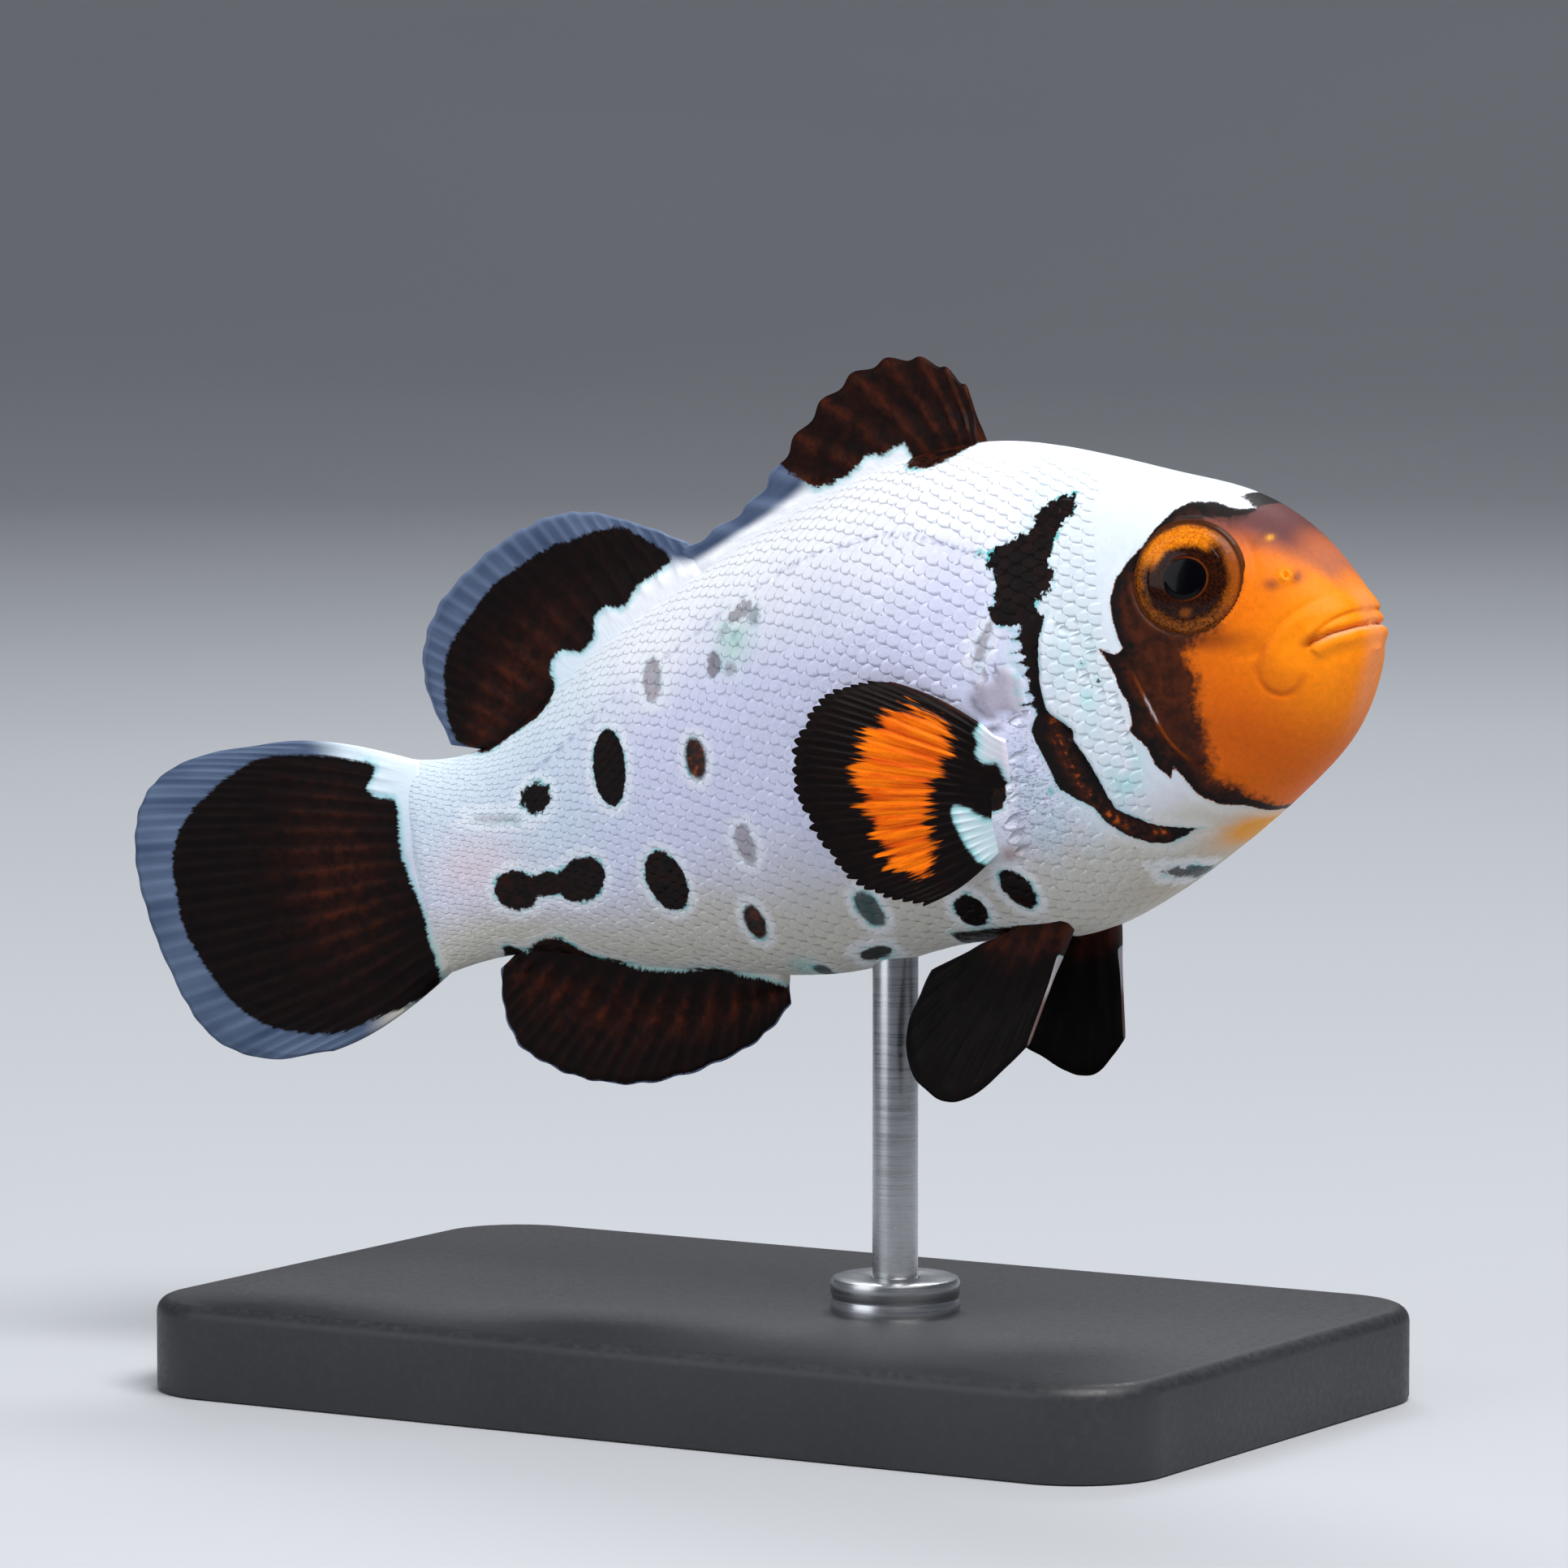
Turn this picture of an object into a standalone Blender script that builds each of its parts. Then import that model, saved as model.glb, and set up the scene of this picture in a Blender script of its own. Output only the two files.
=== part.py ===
"""Clownfish, life size, as a still display model on a plain stand.

The fish is laid out straight, in millimetres, with s running back from the
snout tip, y to the fish's left and z up; a gentle side bend of the tail and a
nose-up pitch then put it in its pose.  The finished part is in metres, +Z up,
the snout toward +X, with the origin at the middle of the stand's underside.
"""
import math

import bmesh
import bpy
import numpy as np
from mathutils import Matrix

# ---------------------------------------------------------------- sizes (mm)
GAP = 0.3                     # clearance between neighbouring solids
HEAD_END = 16.9               # station of the head's rear face
TRUNK_START = HEAD_END + GAP
TRUNK_END = 44.0
STALK_START = TRUNK_END + GAP
STALK_END = 57.6              # end of the tail stalk, where the tail fin starts

PITCH_DEG = 13.5              # nose up
BEND_DEG = 13.0               # turn of the tail toward the fish's right side
BEND_FROM, BEND_TO = 24.0, 70.0

EYE_RADIUS = 3.15             # radius of the eyeball in the plane of the face
EYE_HALF_DEPTH = 1.5
EYE_AT = (7.5, 4.25, 4.8)     # station, distance from the middle, height
EYE_TURN_DEG = 12.0           # eyes look a little forward
EYE_RISE_DEG = 8.0            # and a little upward

GILL_THICK = 1.0
FIN_THICK = 0.56              # free edge of a fin
FIN_ROOT = 0.95               # root of a fin
TAIL_ROOT = 2.5               # root of the tail fin

BASE_LENGTH, BASE_WIDTH, BASE_HEIGHT = 60.0, 36.0, 5.0
BASE_CORNER = 5.0
BASE_CHAMFER = 0.8
ROD_RADIUS = 1.2
ROD_STATION = 31.5            # where the rod enters the belly
ROD_DEPTH = 7.5               # how far it goes up into the body
ROD_IN_BASE = 3.2
ROD_FORWARD = 7.0             # rod ahead of the middle of the base
COLLAR_RADIUS, COLLAR_HEIGHT = 3.4, 1.5
FOOT_CLEARANCE = 11.0         # top of the base to the lowest fin tip

SNOUT_Z = -0.5
# landmarks of the outline in the middle plane: station, height
BACK = {
    "snout": (0.0, SNOUT_Z), "lip": (0.25, 2.1), "nose": (0.8, 3.5), "nostril": (2.5, 6.2),
    "brow": (6.0, 9.1), "crown": (10.0, 10.9), "nape": (15.0, 13.1), "shoulder": (20.0, 14.5),
    "spines": (27.0, 14.3), "mid_back": (34.0, 12.7), "notch": (40.0, 10.7), "soft_rays": (48.0, 7.2),
    "stalk": (53.5, 4.8), "tail_root": (58.0, 5.3),
}
BELLY = {
    "snout": (0.0, SNOUT_Z), "lip": (0.25, -0.9), "chin": (0.9, -2.1), "throat": (2.5, -4.3),
    "gills": (6.0, -6.7), "isthmus": (10.0, -8.7), "chest": (15.0, -10.7), "breast": (20.0, -11.6),
    "belly": (27.0, -10.8), "vent": (34.0, -11.0), "anal_rays": (40.0, -10.0), "fin_end": (48.0, -7.9),
    "stalk": (53.5, -6.4), "tail_root": (58.0, -6.7),
}
# half of the body's width at its widest level
WIDTH = {
    "snout": (0.0, 0.0), "lips": (0.25, 1.5), "nose": (1.5, 3.0), "nostril": (2.8, 3.8),
    "mouth_corner": (4.5, 4.55), "eye": (7.0, 5.3), "cheek": (11.0, 5.85), "gills": (14.0, 6.2),
    "shoulder": (18.0, 6.6), "ribs": (23.0, 6.8), "belly": (30.0, 6.3), "vent": (38.0, 5.0),
    "anal_rays": (46.0, 3.4), "stalk": (53.5, 2.1), "tail_root": (58.0, 1.45),
}
# station: level of the widest place (share of the depth), power of the upper
# and of the lower half of the section (2 is an ellipse)
SECTIONS = {
    "snout": (0.0, 0.45, 2.1, 2.1), "eye": (8.0, 0.52, 2.5, 2.2), "cheek": (14.0, 0.55, 2.15, 2.1),
    "ribs": (24.0, 0.56, 1.85, 2.1), "vent": (36.0, 0.54, 1.85, 2.0), "tail_root": (58.0, 0.50, 2.0, 2.0),
}

# key rays of the fins in the middle plane: root station, tip station, tip height
SPINY_FIN = {
    "first": (20.0, 20.4, 17.5), "second": (21.6, 22.2, 19.3), "tallest": (24.0, 25.4, 19.9),
    "fifth": (27.0, 29.0, 18.6), "seventh": (31.0, 32.3, 16.1), "ninth": (34.6, 35.4, 14.0),
    "notch": (38.0, 38.3, 13.1),
}
SOFT_FIN = {
    "notch": (38.6, 39.4, 13.4), "front": (41.0, 43.4, 15.6), "tallest": (44.0, 47.8, 15.9),
    "shoulder": (47.0, 52.8, 13.7), "corner": (50.0, 55.6, 10.1), "last": (53.2, 54.9, 5.4),
}
ANAL_FIN = {
    "front": (38.0, 38.2, -12.0), "spine": (40.2, 41.8, -13.9), "deepest": (43.4, 47.2, -14.5),
    "shoulder": (46.6, 51.8, -13.2), "corner": (50.0, 54.7, -10.6), "last": (53.6, 54.6, -6.9),
}
# tail fin: root height, tip station, tip height
TAIL_FIN = {
    "top": (5.0, 66.2, 7.9), "upper_corner": (3.3, 71.2, 7.4), "upper": (1.6, 73.6, 5.1),
    "middle": (-0.4, 74.1, 1.2), "lower": (-2.4, 73.4, -3.7), "lower_corner": (-4.3, 71.2, -8.0),
    "bottom": (-6.3, 66.0, -9.7),
}
# breast fin, in its own sheet hinged on the flank: tips (outward, up)
PECTORAL_ROOT = ((19.1, -0.6), (21.1, -6.6))         # station and height of its two ends
PECTORAL_HINGE = (21.8, 6.5, -3.6)
PECTORAL_SPREAD_DEG = {"right": 35.0, "left": 31.0}
PECTORAL_FIN = {
    "top": (2.4, 6.65), "upper": (5.4, 6.85), "upper_corner": (7.6, 5.1), "middle": (8.4, 2.2),
    "lower": (7.6, -0.9), "lower_corner": (5.8, -3.5), "bottom": (3.0, -4.9),
}
# belly fins: root station, tip station, tip height
PELVIC_FIN = {
    "right": {"spine": (19.8, 22.6, -16.4), "longest": (21.2, 26.3, -18.5), "middle": (22.4, 29.0, -17.9),
              "inner": (23.4, 30.1, -15.0), "last": (24.2, 28.3, -11.7)},
    "left": {"spine": (19.0, 20.9, -17.1), "longest": (20.3, 23.6, -18.7), "middle": (21.4, 26.0, -17.4),
             "inner": (22.5, 27.5, -14.9), "last": (23.4, 26.0, -12.1)},
}
PELVIC_ROOT_Y, PELVIC_FLARE = 2.0, 0.30

# outlines on the side of the head: station, height
GILL_FRONT = ((10.4, 5.8), (10.9, 1.6), (10.1, -2.9), (8.3, -6.5))     # top to bottom
GILL_REAR = ((13.2, 6.1), (15.9, 2.2), (15.1, -3.2), (9.4, -7.7))
JAW_OUTLINE = (
    (-2.0, 0.8), (1.1, 0.7), (2.2, 0.2), (3.4, -0.4), (4.1, -1.7), (4.0, -3.1),
    (3.3, -4.5), (2.7, -8.0), (-2.0, -8.0),
)

# ------------------------------------------------------------- body surface


def spline(x, xs, ys):
    """Natural cubic through the points."""
    xs, ys, x = (np.asarray(v, float) for v in (xs, ys, x))
    n, h = len(xs), np.diff(np.asarray(xs, float))
    a, r = np.zeros((n, n)), np.zeros(n)
    a[0, 0] = a[-1, -1] = 1.0
    for i in range(1, n - 1):
        a[i, i - 1:i + 2] = h[i - 1], 2 * (h[i - 1] + h[i]), h[i]
        r[i] = 6 * ((ys[i + 1] - ys[i]) / h[i] - (ys[i] - ys[i - 1]) / h[i - 1])
    m = np.linalg.solve(a, r)
    i = np.clip(np.searchsorted(xs, x, side="right") - 1, 0, n - 2)
    u, v = (xs[i + 1] - x) / h[i], (x - xs[i]) / h[i]
    return u * ys[i] + v * ys[i + 1] + ((u ** 3 - u) * m[i] + (v ** 3 - v) * m[i + 1]) * h[i] ** 2 / 6


_BACK_LINE = np.array(list(BACK.values()))
_BELLY_LINE = np.array(list(BELLY.values()))
_W = np.array(list(WIDTH.values()))
_S = np.array(list(SECTIONS.values()))


def root(s):
    return np.sqrt(np.maximum(s, 0.0))


def back_line(s):
    return spline(root(s), root(_BACK_LINE[:, 0]), _BACK_LINE[:, 1])


def belly_line(s):
    return spline(root(s), root(_BELLY_LINE[:, 0]), _BELLY_LINE[:, 1])


def half_width(s):
    return spline(root(s), root(_W[:, 0]), _W[:, 1])


def section(s, angle):
    """Section points at station s: angle 0 on the right side, 90 degrees on top."""
    top, bottom, w = back_line(s), belly_line(s), half_width(s)
    mid = bottom + (top - bottom) * np.interp(s, _S[:, 0], _S[:, 1])
    c, n = np.cos(angle), np.sin(angle)
    power = np.where(n >= 0, np.interp(s, _S[:, 0], _S[:, 2]), np.interp(s, _S[:, 0], _S[:, 3]))
    y = -w * np.sign(c) * np.abs(c) ** (2 / power)
    z = mid + np.where(n >= 0, top - mid, mid - bottom) * np.sign(n) * np.abs(n) ** (2 / power)
    return y, z


def side_y(s, z):
    """Half width of the body at a station and height."""
    top, bottom, w = back_line(s), belly_line(s), half_width(s)
    mid = bottom + (top - bottom) * np.interp(s, _S[:, 0], _S[:, 1])
    upper = z >= mid
    q = np.where(upper, (z - mid) / (top - mid), (mid - z) / (mid - bottom))
    power = np.where(upper, np.interp(s, _S[:, 0], _S[:, 2]), np.interp(s, _S[:, 0], _S[:, 3]))
    return w * np.maximum(1 - np.clip(q, 0, 1) ** power, 0) ** (1 / power)


# ------------------------------------------------------------------- pose
_HS = np.linspace(-10.0, 100.0, 2201)


def heading(s):
    t = np.clip((s - BEND_FROM) / (BEND_TO - BEND_FROM), 0, 1)
    return math.radians(BEND_DEG) * t * t * (3 - 2 * t)


def _run(f):
    d = f(heading(_HS))
    out = np.concatenate([[0.0], np.cumsum((d[1:] + d[:-1]) / 2 * np.diff(_HS))])
    return out - np.interp(0.0, _HS, out)


_BACK, _SIDE = _run(np.cos), -_run(np.sin)


def bend(points):
    """The straight layout with the tail bent to the side; the snout toward +X, still in mm."""
    p = np.asarray(points, float)
    h = heading(p[:, 0])
    back = np.interp(p[:, 0], _HS, _BACK) + p[:, 1] * np.sin(h)
    side = np.interp(p[:, 0], _HS, _SIDE) + p[:, 1] * np.cos(h)
    return np.stack([-back, side, p[:, 2]], 1)


PITCH = Matrix.Rotation(math.radians(-PITCH_DEG), 3, "Y")


def pitched(points):
    return points @ np.array(PITCH).T


# ------------------------------------------------------------------ meshes
# a mesh is (points, faces)


def loft(stations, count, cap_start):
    """Closed body between the first and last station; a point at the snout."""
    angles = np.linspace(0, 2 * math.pi, count, endpoint=False)
    points, faces, rings = [], [], []
    for s in stations:
        y, z = section(np.full(count, float(s)), angles)
        rings.append(range(len(points), len(points) + count))
        points += [(s, y[i], z[i]) for i in range(count)]
    for a, b in zip(rings[:-1], rings[1:]):
        for i in range(count):
            j = (i + 1) % count
            faces += [(a[i], a[j], b[j]), (a[i], b[j], b[i])]
    first = rings[0]
    middle = np.mean([points[k] for k in first], axis=0)
    start = len(points)
    points.append(tuple(middle) if cap_start else (0.0, 0.0, SNOUT_Z))
    faces += [(start, first[(i + 1) % count], first[i]) for i in range(count)]
    last = rings[-1]
    end = len(points)
    points.append(tuple(np.mean([points[k] for k in last], axis=0)))
    faces += [(end, last[i], last[(i + 1) % count]) for i in range(count)]
    return outward((np.array(points), faces))


def vertex_normals(mesh):
    p, faces = mesh
    f = np.array(faces)
    n = np.cross(p[f[:, 1]] - p[f[:, 0]], p[f[:, 2]] - p[f[:, 0]])
    out = np.zeros_like(p)
    for k in range(3):
        np.add.at(out, f[:, k], n)
    return out / np.maximum(np.linalg.norm(out, axis=1, keepdims=True), 1e-12)


def outward(mesh):
    p, faces = mesh
    f = np.array(faces)
    volume = np.einsum("ij,ij->i", p[f[:, 0]], np.cross(p[f[:, 1]], p[f[:, 2]])).sum()
    return mesh if volume > 0 else (p, [tuple(reversed(t)) for t in faces])


def prism(outline, y0, y1):
    """An outline on the side of the fish carried across from y0 to y1."""
    n = len(outline)
    points = [(s, y0, z) for s, z in outline] + [(s, y1, z) for s, z in outline]
    faces = [tuple(range(n)), tuple(reversed(range(n, 2 * n)))]
    faces += [(i, i + n, (i + 1) % n + n, (i + 1) % n) for i in range(n)]
    return np.array(points), faces


def grown(outline, by):
    """The outline moved outward by a clearance."""
    p = np.array(outline, float)
    area = np.sum(p[:, 0] * np.roll(p[:, 1], -1) - np.roll(p[:, 0], -1) * p[:, 1])
    out = []
    for i in range(len(p)):
        a, b, c = p[i - 1], p[i], p[(i + 1) % len(p)]
        u, v = (b - a) / np.linalg.norm(b - a), (c - b) / np.linalg.norm(c - b)
        nu, nv = np.array([u[1], -u[0]]), np.array([v[1], -v[0]])
        if area < 0:
            nu, nv = -nu, -nv
        m = nu + nv
        m /= max(np.dot(m, nu), 0.35)
        out.append(tuple(b + m * by))
    return out


def taken(work):
    """Points and faces of a bmesh, which is freed."""
    work.verts.ensure_lookup_table()
    work.verts.index_update()
    mesh = (np.array([v.co[:] for v in work.verts]), [tuple(v.index for v in f.verts) for f in work.faces])
    work.free()
    return mesh


def ellipsoid(centre, radii, turn_deg, rise_deg, rings=9, count=20):
    """Eyeball with its short axis across the fish, rolled up and turned forward."""
    work = bmesh.new()
    # the sphere's poles lie on the short axis
    pole = Matrix.Rotation(math.radians(-90), 4, "X")
    shape = Matrix.Diagonal((*radii, 1.0))
    roll = Matrix.Rotation(math.radians(rise_deg), 4, "X")
    turn = Matrix.Rotation(math.radians(-turn_deg), 4, "Z")
    bmesh.ops.create_uvsphere(work, u_segments=count, v_segments=rings, radius=1.0,
                              matrix=Matrix.Translation(centre) @ turn @ roll @ shape @ pole)
    bmesh.ops.triangulate(work, faces=work.faces)
    return outward(taken(work))


def cylinder(x, y, z0, z1, radius, count=24):
    work = bmesh.new()
    bmesh.ops.create_cone(work, cap_ends=True, segments=count, radius1=radius, radius2=radius, depth=z1 - z0,
                          matrix=Matrix.Translation((x, y, (z0 + z1) / 2)))
    return outward(fan(taken(work)))


def fin(rooted, tipped, root_thick, tip_thick, across, along, lift=None, sag=0.0):
    """A sheet between a root curve and a tip curve, thickened to a solid.

    rooted and tipped give the 3-D point for a share 0..1 of the way across;
    sag bows the rays, lift moves the sheet sideways.
    """
    u = np.linspace(0, 1, across)
    v = np.linspace(0, 1, along)
    a = np.array([rooted(k) for k in u])
    b = np.array([tipped(k) for k in u])
    mid = a[:, None, :] * (1 - v[None, :, None]) + b[:, None, :] * v[None, :, None]
    if sag:
        bow = np.sin(math.pi * v)[None, :] * sag * (1 - 2 * u)[:, None]
        mid[..., 2] += bow
    if lift is not None:
        mid[..., 1] += lift(u[:, None], v[None, :])
    du = np.gradient(mid, axis=0)
    dv = np.gradient(mid, axis=1)
    n = np.cross(du, dv)
    n /= np.maximum(np.linalg.norm(n, axis=2, keepdims=True), 1e-9)
    thick = root_thick + (tip_thick - root_thick) * np.minimum(v / 0.6, 1.0)
    half = (thick / 2)[None, :, None] * n
    front, rear = mid + half, mid - half
    points = np.concatenate([front.reshape(-1, 3), rear.reshape(-1, 3)])
    size = across * along
    faces = []
    for i in range(across - 1):
        for j in range(along - 1):
            q = (i * along + j, (i + 1) * along + j, (i + 1) * along + j + 1, i * along + j + 1)
            faces += [(q[0], q[1], q[2]), (q[0], q[2], q[3])]
            r = tuple(k + size for k in q)
            faces += [(r[0], r[2], r[1]), (r[0], r[3], r[2])]
    rim = ([(i, 0) for i in range(across)] + [(across - 1, j) for j in range(1, along)]
           + [(i, along - 1) for i in range(across - 2, -1, -1)] + [(0, j) for j in range(along - 2, 0, -1)])
    ids = [i * along + j for i, j in rim]
    for a0, b0 in zip(ids, ids[1:] + ids[:1]):
        faces += [(b0, a0, a0 + size), (b0, a0 + size, b0 + size)]
    return outward((points, faces))


def curve(points):
    """Smooth curve through points, as a function of the share along them."""
    p = np.array(points, float)
    k = np.linspace(0, 1, len(p))
    return lambda t: np.array([float(spline(t, k, p[:, c])) for c in range(p.shape[1])])


# ----------------------------------------------------------------- booleans


def as_object(name, mesh):
    data = bpy.data.meshes.new(name)
    data.from_pydata([tuple(map(float, p)) for p in mesh[0]], [], [tuple(map(int, f)) for f in mesh[1]])
    data.update()
    obj = bpy.data.objects.new(name, data)
    bpy.context.scene.collection.objects.link(obj)
    return obj


def combine(mesh, others, operation="DIFFERENCE"):
    """The mesh cut by, or kept inside, each of the others in turn."""
    target = as_object("work", outward(fan(mesh)))
    helpers = [as_object("tool", outward(fan(o))) for o in others]
    for tool in helpers:
        modifier = target.modifiers.new("cut", "BOOLEAN")
        modifier.operation, modifier.solver, modifier.object = operation, "EXACT", tool
    bpy.context.view_layer.update()
    got = target.evaluated_get(bpy.context.evaluated_depsgraph_get()).to_mesh()
    work = bmesh.new()
    work.from_mesh(got)
    bmesh.ops.remove_doubles(work, verts=work.verts, dist=0.004)
    bmesh.ops.dissolve_degenerate(work, edges=work.edges, dist=0.004)
    bmesh.ops.triangulate(work, faces=work.faces)
    work.verts.ensure_lookup_table()
    work.verts.index_update()
    result = (np.array([v.co[:] for v in work.verts]), [tuple(v.index for v in f.verts) for f in work.faces])
    work.free()
    for obj in [target] + helpers:
        data = obj.data
        bpy.data.objects.remove(obj)
        bpy.data.meshes.remove(data)
    return result


def fan(mesh):
    """Every face as triangles."""
    if all(len(f) == 3 for f in mesh[1]):
        return mesh
    work = bmesh.new()
    verts = [work.verts.new(p) for p in mesh[0]]
    for f in mesh[1]:
        work.faces.new([verts[k] for k in f])
    bmesh.ops.triangulate(work, faces=work.faces)
    return taken(work)


# -------------------------------------------------------------------- parts


def stations(start, end, count, crowd_front=False):
    if crowd_front:
        return list((np.linspace(0.05, 1, count) ** 1.8) * (end - start) + start)
    return list(np.linspace(start, end, count))


def gill_plate(sign, depth, grow, down=9, over=4):
    """Block over one gill cover; its inner face runs a wall's depth below the skin."""
    front, rear = curve(GILL_FRONT), curve(GILL_REAR)
    grid = {}
    for i, t in enumerate(np.linspace(0, 1, down)):
        for j, u in enumerate(np.linspace(0, 1, over)):
            grid[i, j] = front(t) * (1 - u) + rear(t) * u
    rim = ([(i, 0) for i in range(down)] + [(down - 1, j) for j in range(1, over)]
           + [(i, over - 1) for i in range(down - 2, -1, -1)] + [(0, j) for j in range(over - 2, 0, -1)])
    for k, p in zip(rim, grown([grid[k] for k in rim], grow)):
        grid[k] = np.array(p)
    number = {k: n for n, k in enumerate(grid)}
    size = len(grid)
    s, z = np.array([grid[k][0] for k in grid]), np.array([grid[k][1] for k in grid])
    inner = sign * (side_y(s, z) - depth)
    points = [(a, b, c) for a, b, c in zip(s, inner, z)] + [(a, sign * 12.0, c) for a, c in zip(s, z)]
    faces = []
    for i in range(down - 1):
        for j in range(over - 1):
            a, b, c, d = (number[k] for k in ((i, j), (i + 1, j), (i + 1, j + 1), (i, j + 1)))
            faces += [(a, b, c), (a, c, d), (a + size, c + size, b + size), (a + size, d + size, c + size)]
    ids = [number[k] for k in rim]
    for a, b in zip(ids, ids[1:] + ids[:1]):
        faces += [(b, a, a + size), (b, a + size, b + size)]
    return outward((np.array(points), faces))


def build_head():
    whole = loft(stations(0.0, HEAD_END, 20, True), 34, False)
    out = {}
    cutters = []
    for side, sign in (("right", -1), ("left", 1)):
        out["gill_cover_" + side] = combine(whole, [gill_plate(sign, GILL_THICK, 0.0)], "INTERSECT")
        cutters.append(gill_plate(sign, GILL_THICK + GAP, GAP))
    out["lower_jaw"] = combine(whole, [prism(JAW_OUTLINE, -8.0, 8.0)], "INTERSECT")
    cutters.append(prism(grown(JAW_OUTLINE, GAP), -9.0, 9.0))
    s, y, z = EYE_AT
    for side, sign in (("right", -1), ("left", 1)):
        centre = (s, sign * y, z)
        out["eye_" + side] = ellipsoid(centre, (EYE_RADIUS, EYE_HALF_DEPTH, EYE_RADIUS),
                                        -sign * EYE_TURN_DEG, sign * EYE_RISE_DEG)
        cutters.append(ellipsoid(centre, (EYE_RADIUS + GAP, EYE_HALF_DEPTH + GAP, EYE_RADIUS + GAP),
                                 -sign * EYE_TURN_DEG, sign * EYE_RISE_DEG))
    out["head"] = combine(whole, cutters)
    return out


def build_median_fins():
    def ray_fin(rays, edge, away, ripple):
        r = np.array(list(rays.values()))
        k = np.linspace(0, 1, len(r))
        rooted = lambda t: np.array([float(spline(t, k, r[:, 0])), 0.0,
                                     float(edge(spline(t, k, r[:, 0]))) + away * GAP])
        tipped = lambda t: np.array([float(spline(t, k, r[:, 1])), 0.0, float(spline(t, k, r[:, 2]))])
        lift = lambda u, v: ripple * v * v * np.sin(2 * math.pi * (1.3 * u + 0.1))
        return fin(rooted, tipped, FIN_ROOT, FIN_THICK, 19, 5, lift)

    out = {
        "dorsal_fin_spiny": ray_fin(SPINY_FIN, back_line, 1, 0.15),
        "dorsal_fin_soft": ray_fin(SOFT_FIN, back_line, 1, 0.25),
        "anal_fin": ray_fin(ANAL_FIN, belly_line, -1, 0.20),
    }
    r = np.array(list(TAIL_FIN.values()))
    k = np.linspace(0, 1, len(r))
    rooted = lambda t: np.array([STALK_END + GAP, 0.0, float(spline(t, k, r[:, 0]))])
    tipped = lambda t: np.array([float(spline(t, k, r[:, 1])), 0.0, float(spline(t, k, r[:, 2]))])
    lift = lambda u, v: 0.25 * v * v * np.sin(2 * math.pi * (1.2 * u + 0.2))
    out["caudal_fin"] = fin(rooted, tipped, TAIL_ROOT, FIN_THICK, 23, 6, lift)
    return out


def build_paired_fins():
    out = {}
    for side, sign in (("right", -1), ("left", 1)):
        (s0, z0), (s1, z1) = PECTORAL_ROOT
        clear = GAP + FIN_ROOT * 0.5 + 0.12

        def rooted(t, sign=sign):
            s, z = s0 + (s1 - s0) * t, z0 + (z1 - z0) * t
            s += 0.35 * math.sin(math.pi * t)
            return np.array([s, sign * (float(side_y(np.array(s), np.array(z))) + clear), z])

        angle = math.radians(PECTORAL_SPREAD_DEG[side])
        tips = curve(list(PECTORAL_FIN.values()))

        def tipped(t, sign=sign, angle=angle):
            u, v = tips(t)
            return np.array([PECTORAL_HINGE[0] + u * math.cos(angle),
                             sign * (PECTORAL_HINGE[1] + u * math.sin(angle)), PECTORAL_HINGE[2] + v])

        cup = lambda u, v, sign=sign: sign * 0.45 * np.sin(math.pi * v) * np.sin(math.pi * u)
        out["pectoral_fin_" + side] = fin(rooted, tipped, FIN_ROOT, FIN_THICK, 17, 6, cup, 0.35)

        rays = curve(list(PELVIC_FIN[side].values()))

        def pelvic_root(t, sign=sign, rays=rays):
            s = float(rays(t)[0])
            y = PELVIC_ROOT_Y
            z = np.linspace(float(belly_line(s)), float(belly_line(s)) + 4, 200)
            level = float(np.interp(y, side_y(np.full(200, s), z), z))
            return np.array([s, sign * (y + 0.12), level - GAP - 0.32])

        def pelvic_tip(t, sign=sign, rays=rays):
            _, s, z = rays(t)
            return np.array([s, sign * (PELVIC_ROOT_Y + PELVIC_FLARE * (-12 - z)), z])

        out["pelvic_fin_" + side] = fin(pelvic_root, pelvic_tip, FIN_ROOT, FIN_THICK, 15, 5)
    return out


def rounded_block(length, width, height, corner, chamfer):
    """Plain base: rounded corners, then a small bevel round the top edge."""
    work = bmesh.new()
    bmesh.ops.create_cube(work, size=1.0, matrix=Matrix.Translation((0, 0, height / 2))
                          @ Matrix.Diagonal((length, width, height, 1.0)))
    upright = [e for e in work.edges if abs(e.verts[0].co.z - e.verts[1].co.z) > height / 2]
    bmesh.ops.bevel(work, geom=upright, offset=corner, segments=6, profile=0.5, affect="EDGES")
    rim = [e for e in work.edges if min(v.co.z for v in e.verts) > height - 1e-4]
    bmesh.ops.bevel(work, geom=rim, offset=chamfer, segments=2, profile=0.5, affect="EDGES")
    return outward(fan(taken(work)))


def material(name, colour, roughness, metallic=0.0):
    made = bpy.data.materials.new(name)
    made.use_nodes = True
    shader = made.node_tree.nodes["Principled BSDF"]
    shader.inputs["Base Color"].default_value = (*colour, 1.0)
    shader.inputs["Roughness"].default_value = roughness
    shader.inputs["Metallic"].default_value = metallic
    return made


COLOURS = {
    "head": (0.80, 0.30, 0.04), "lower_jaw": (0.85, 0.33, 0.03), "gill_cover": (0.75, 0.74, 0.74),
    "eye": (0.03, 0.02, 0.02), "trunk": (0.78, 0.77, 0.80), "tail_stalk": (0.76, 0.75, 0.78),
    "fin": (0.03, 0.02, 0.025), "stand_base": (0.05, 0.05, 0.055), "stand": (0.55, 0.55, 0.57),
}


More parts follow.
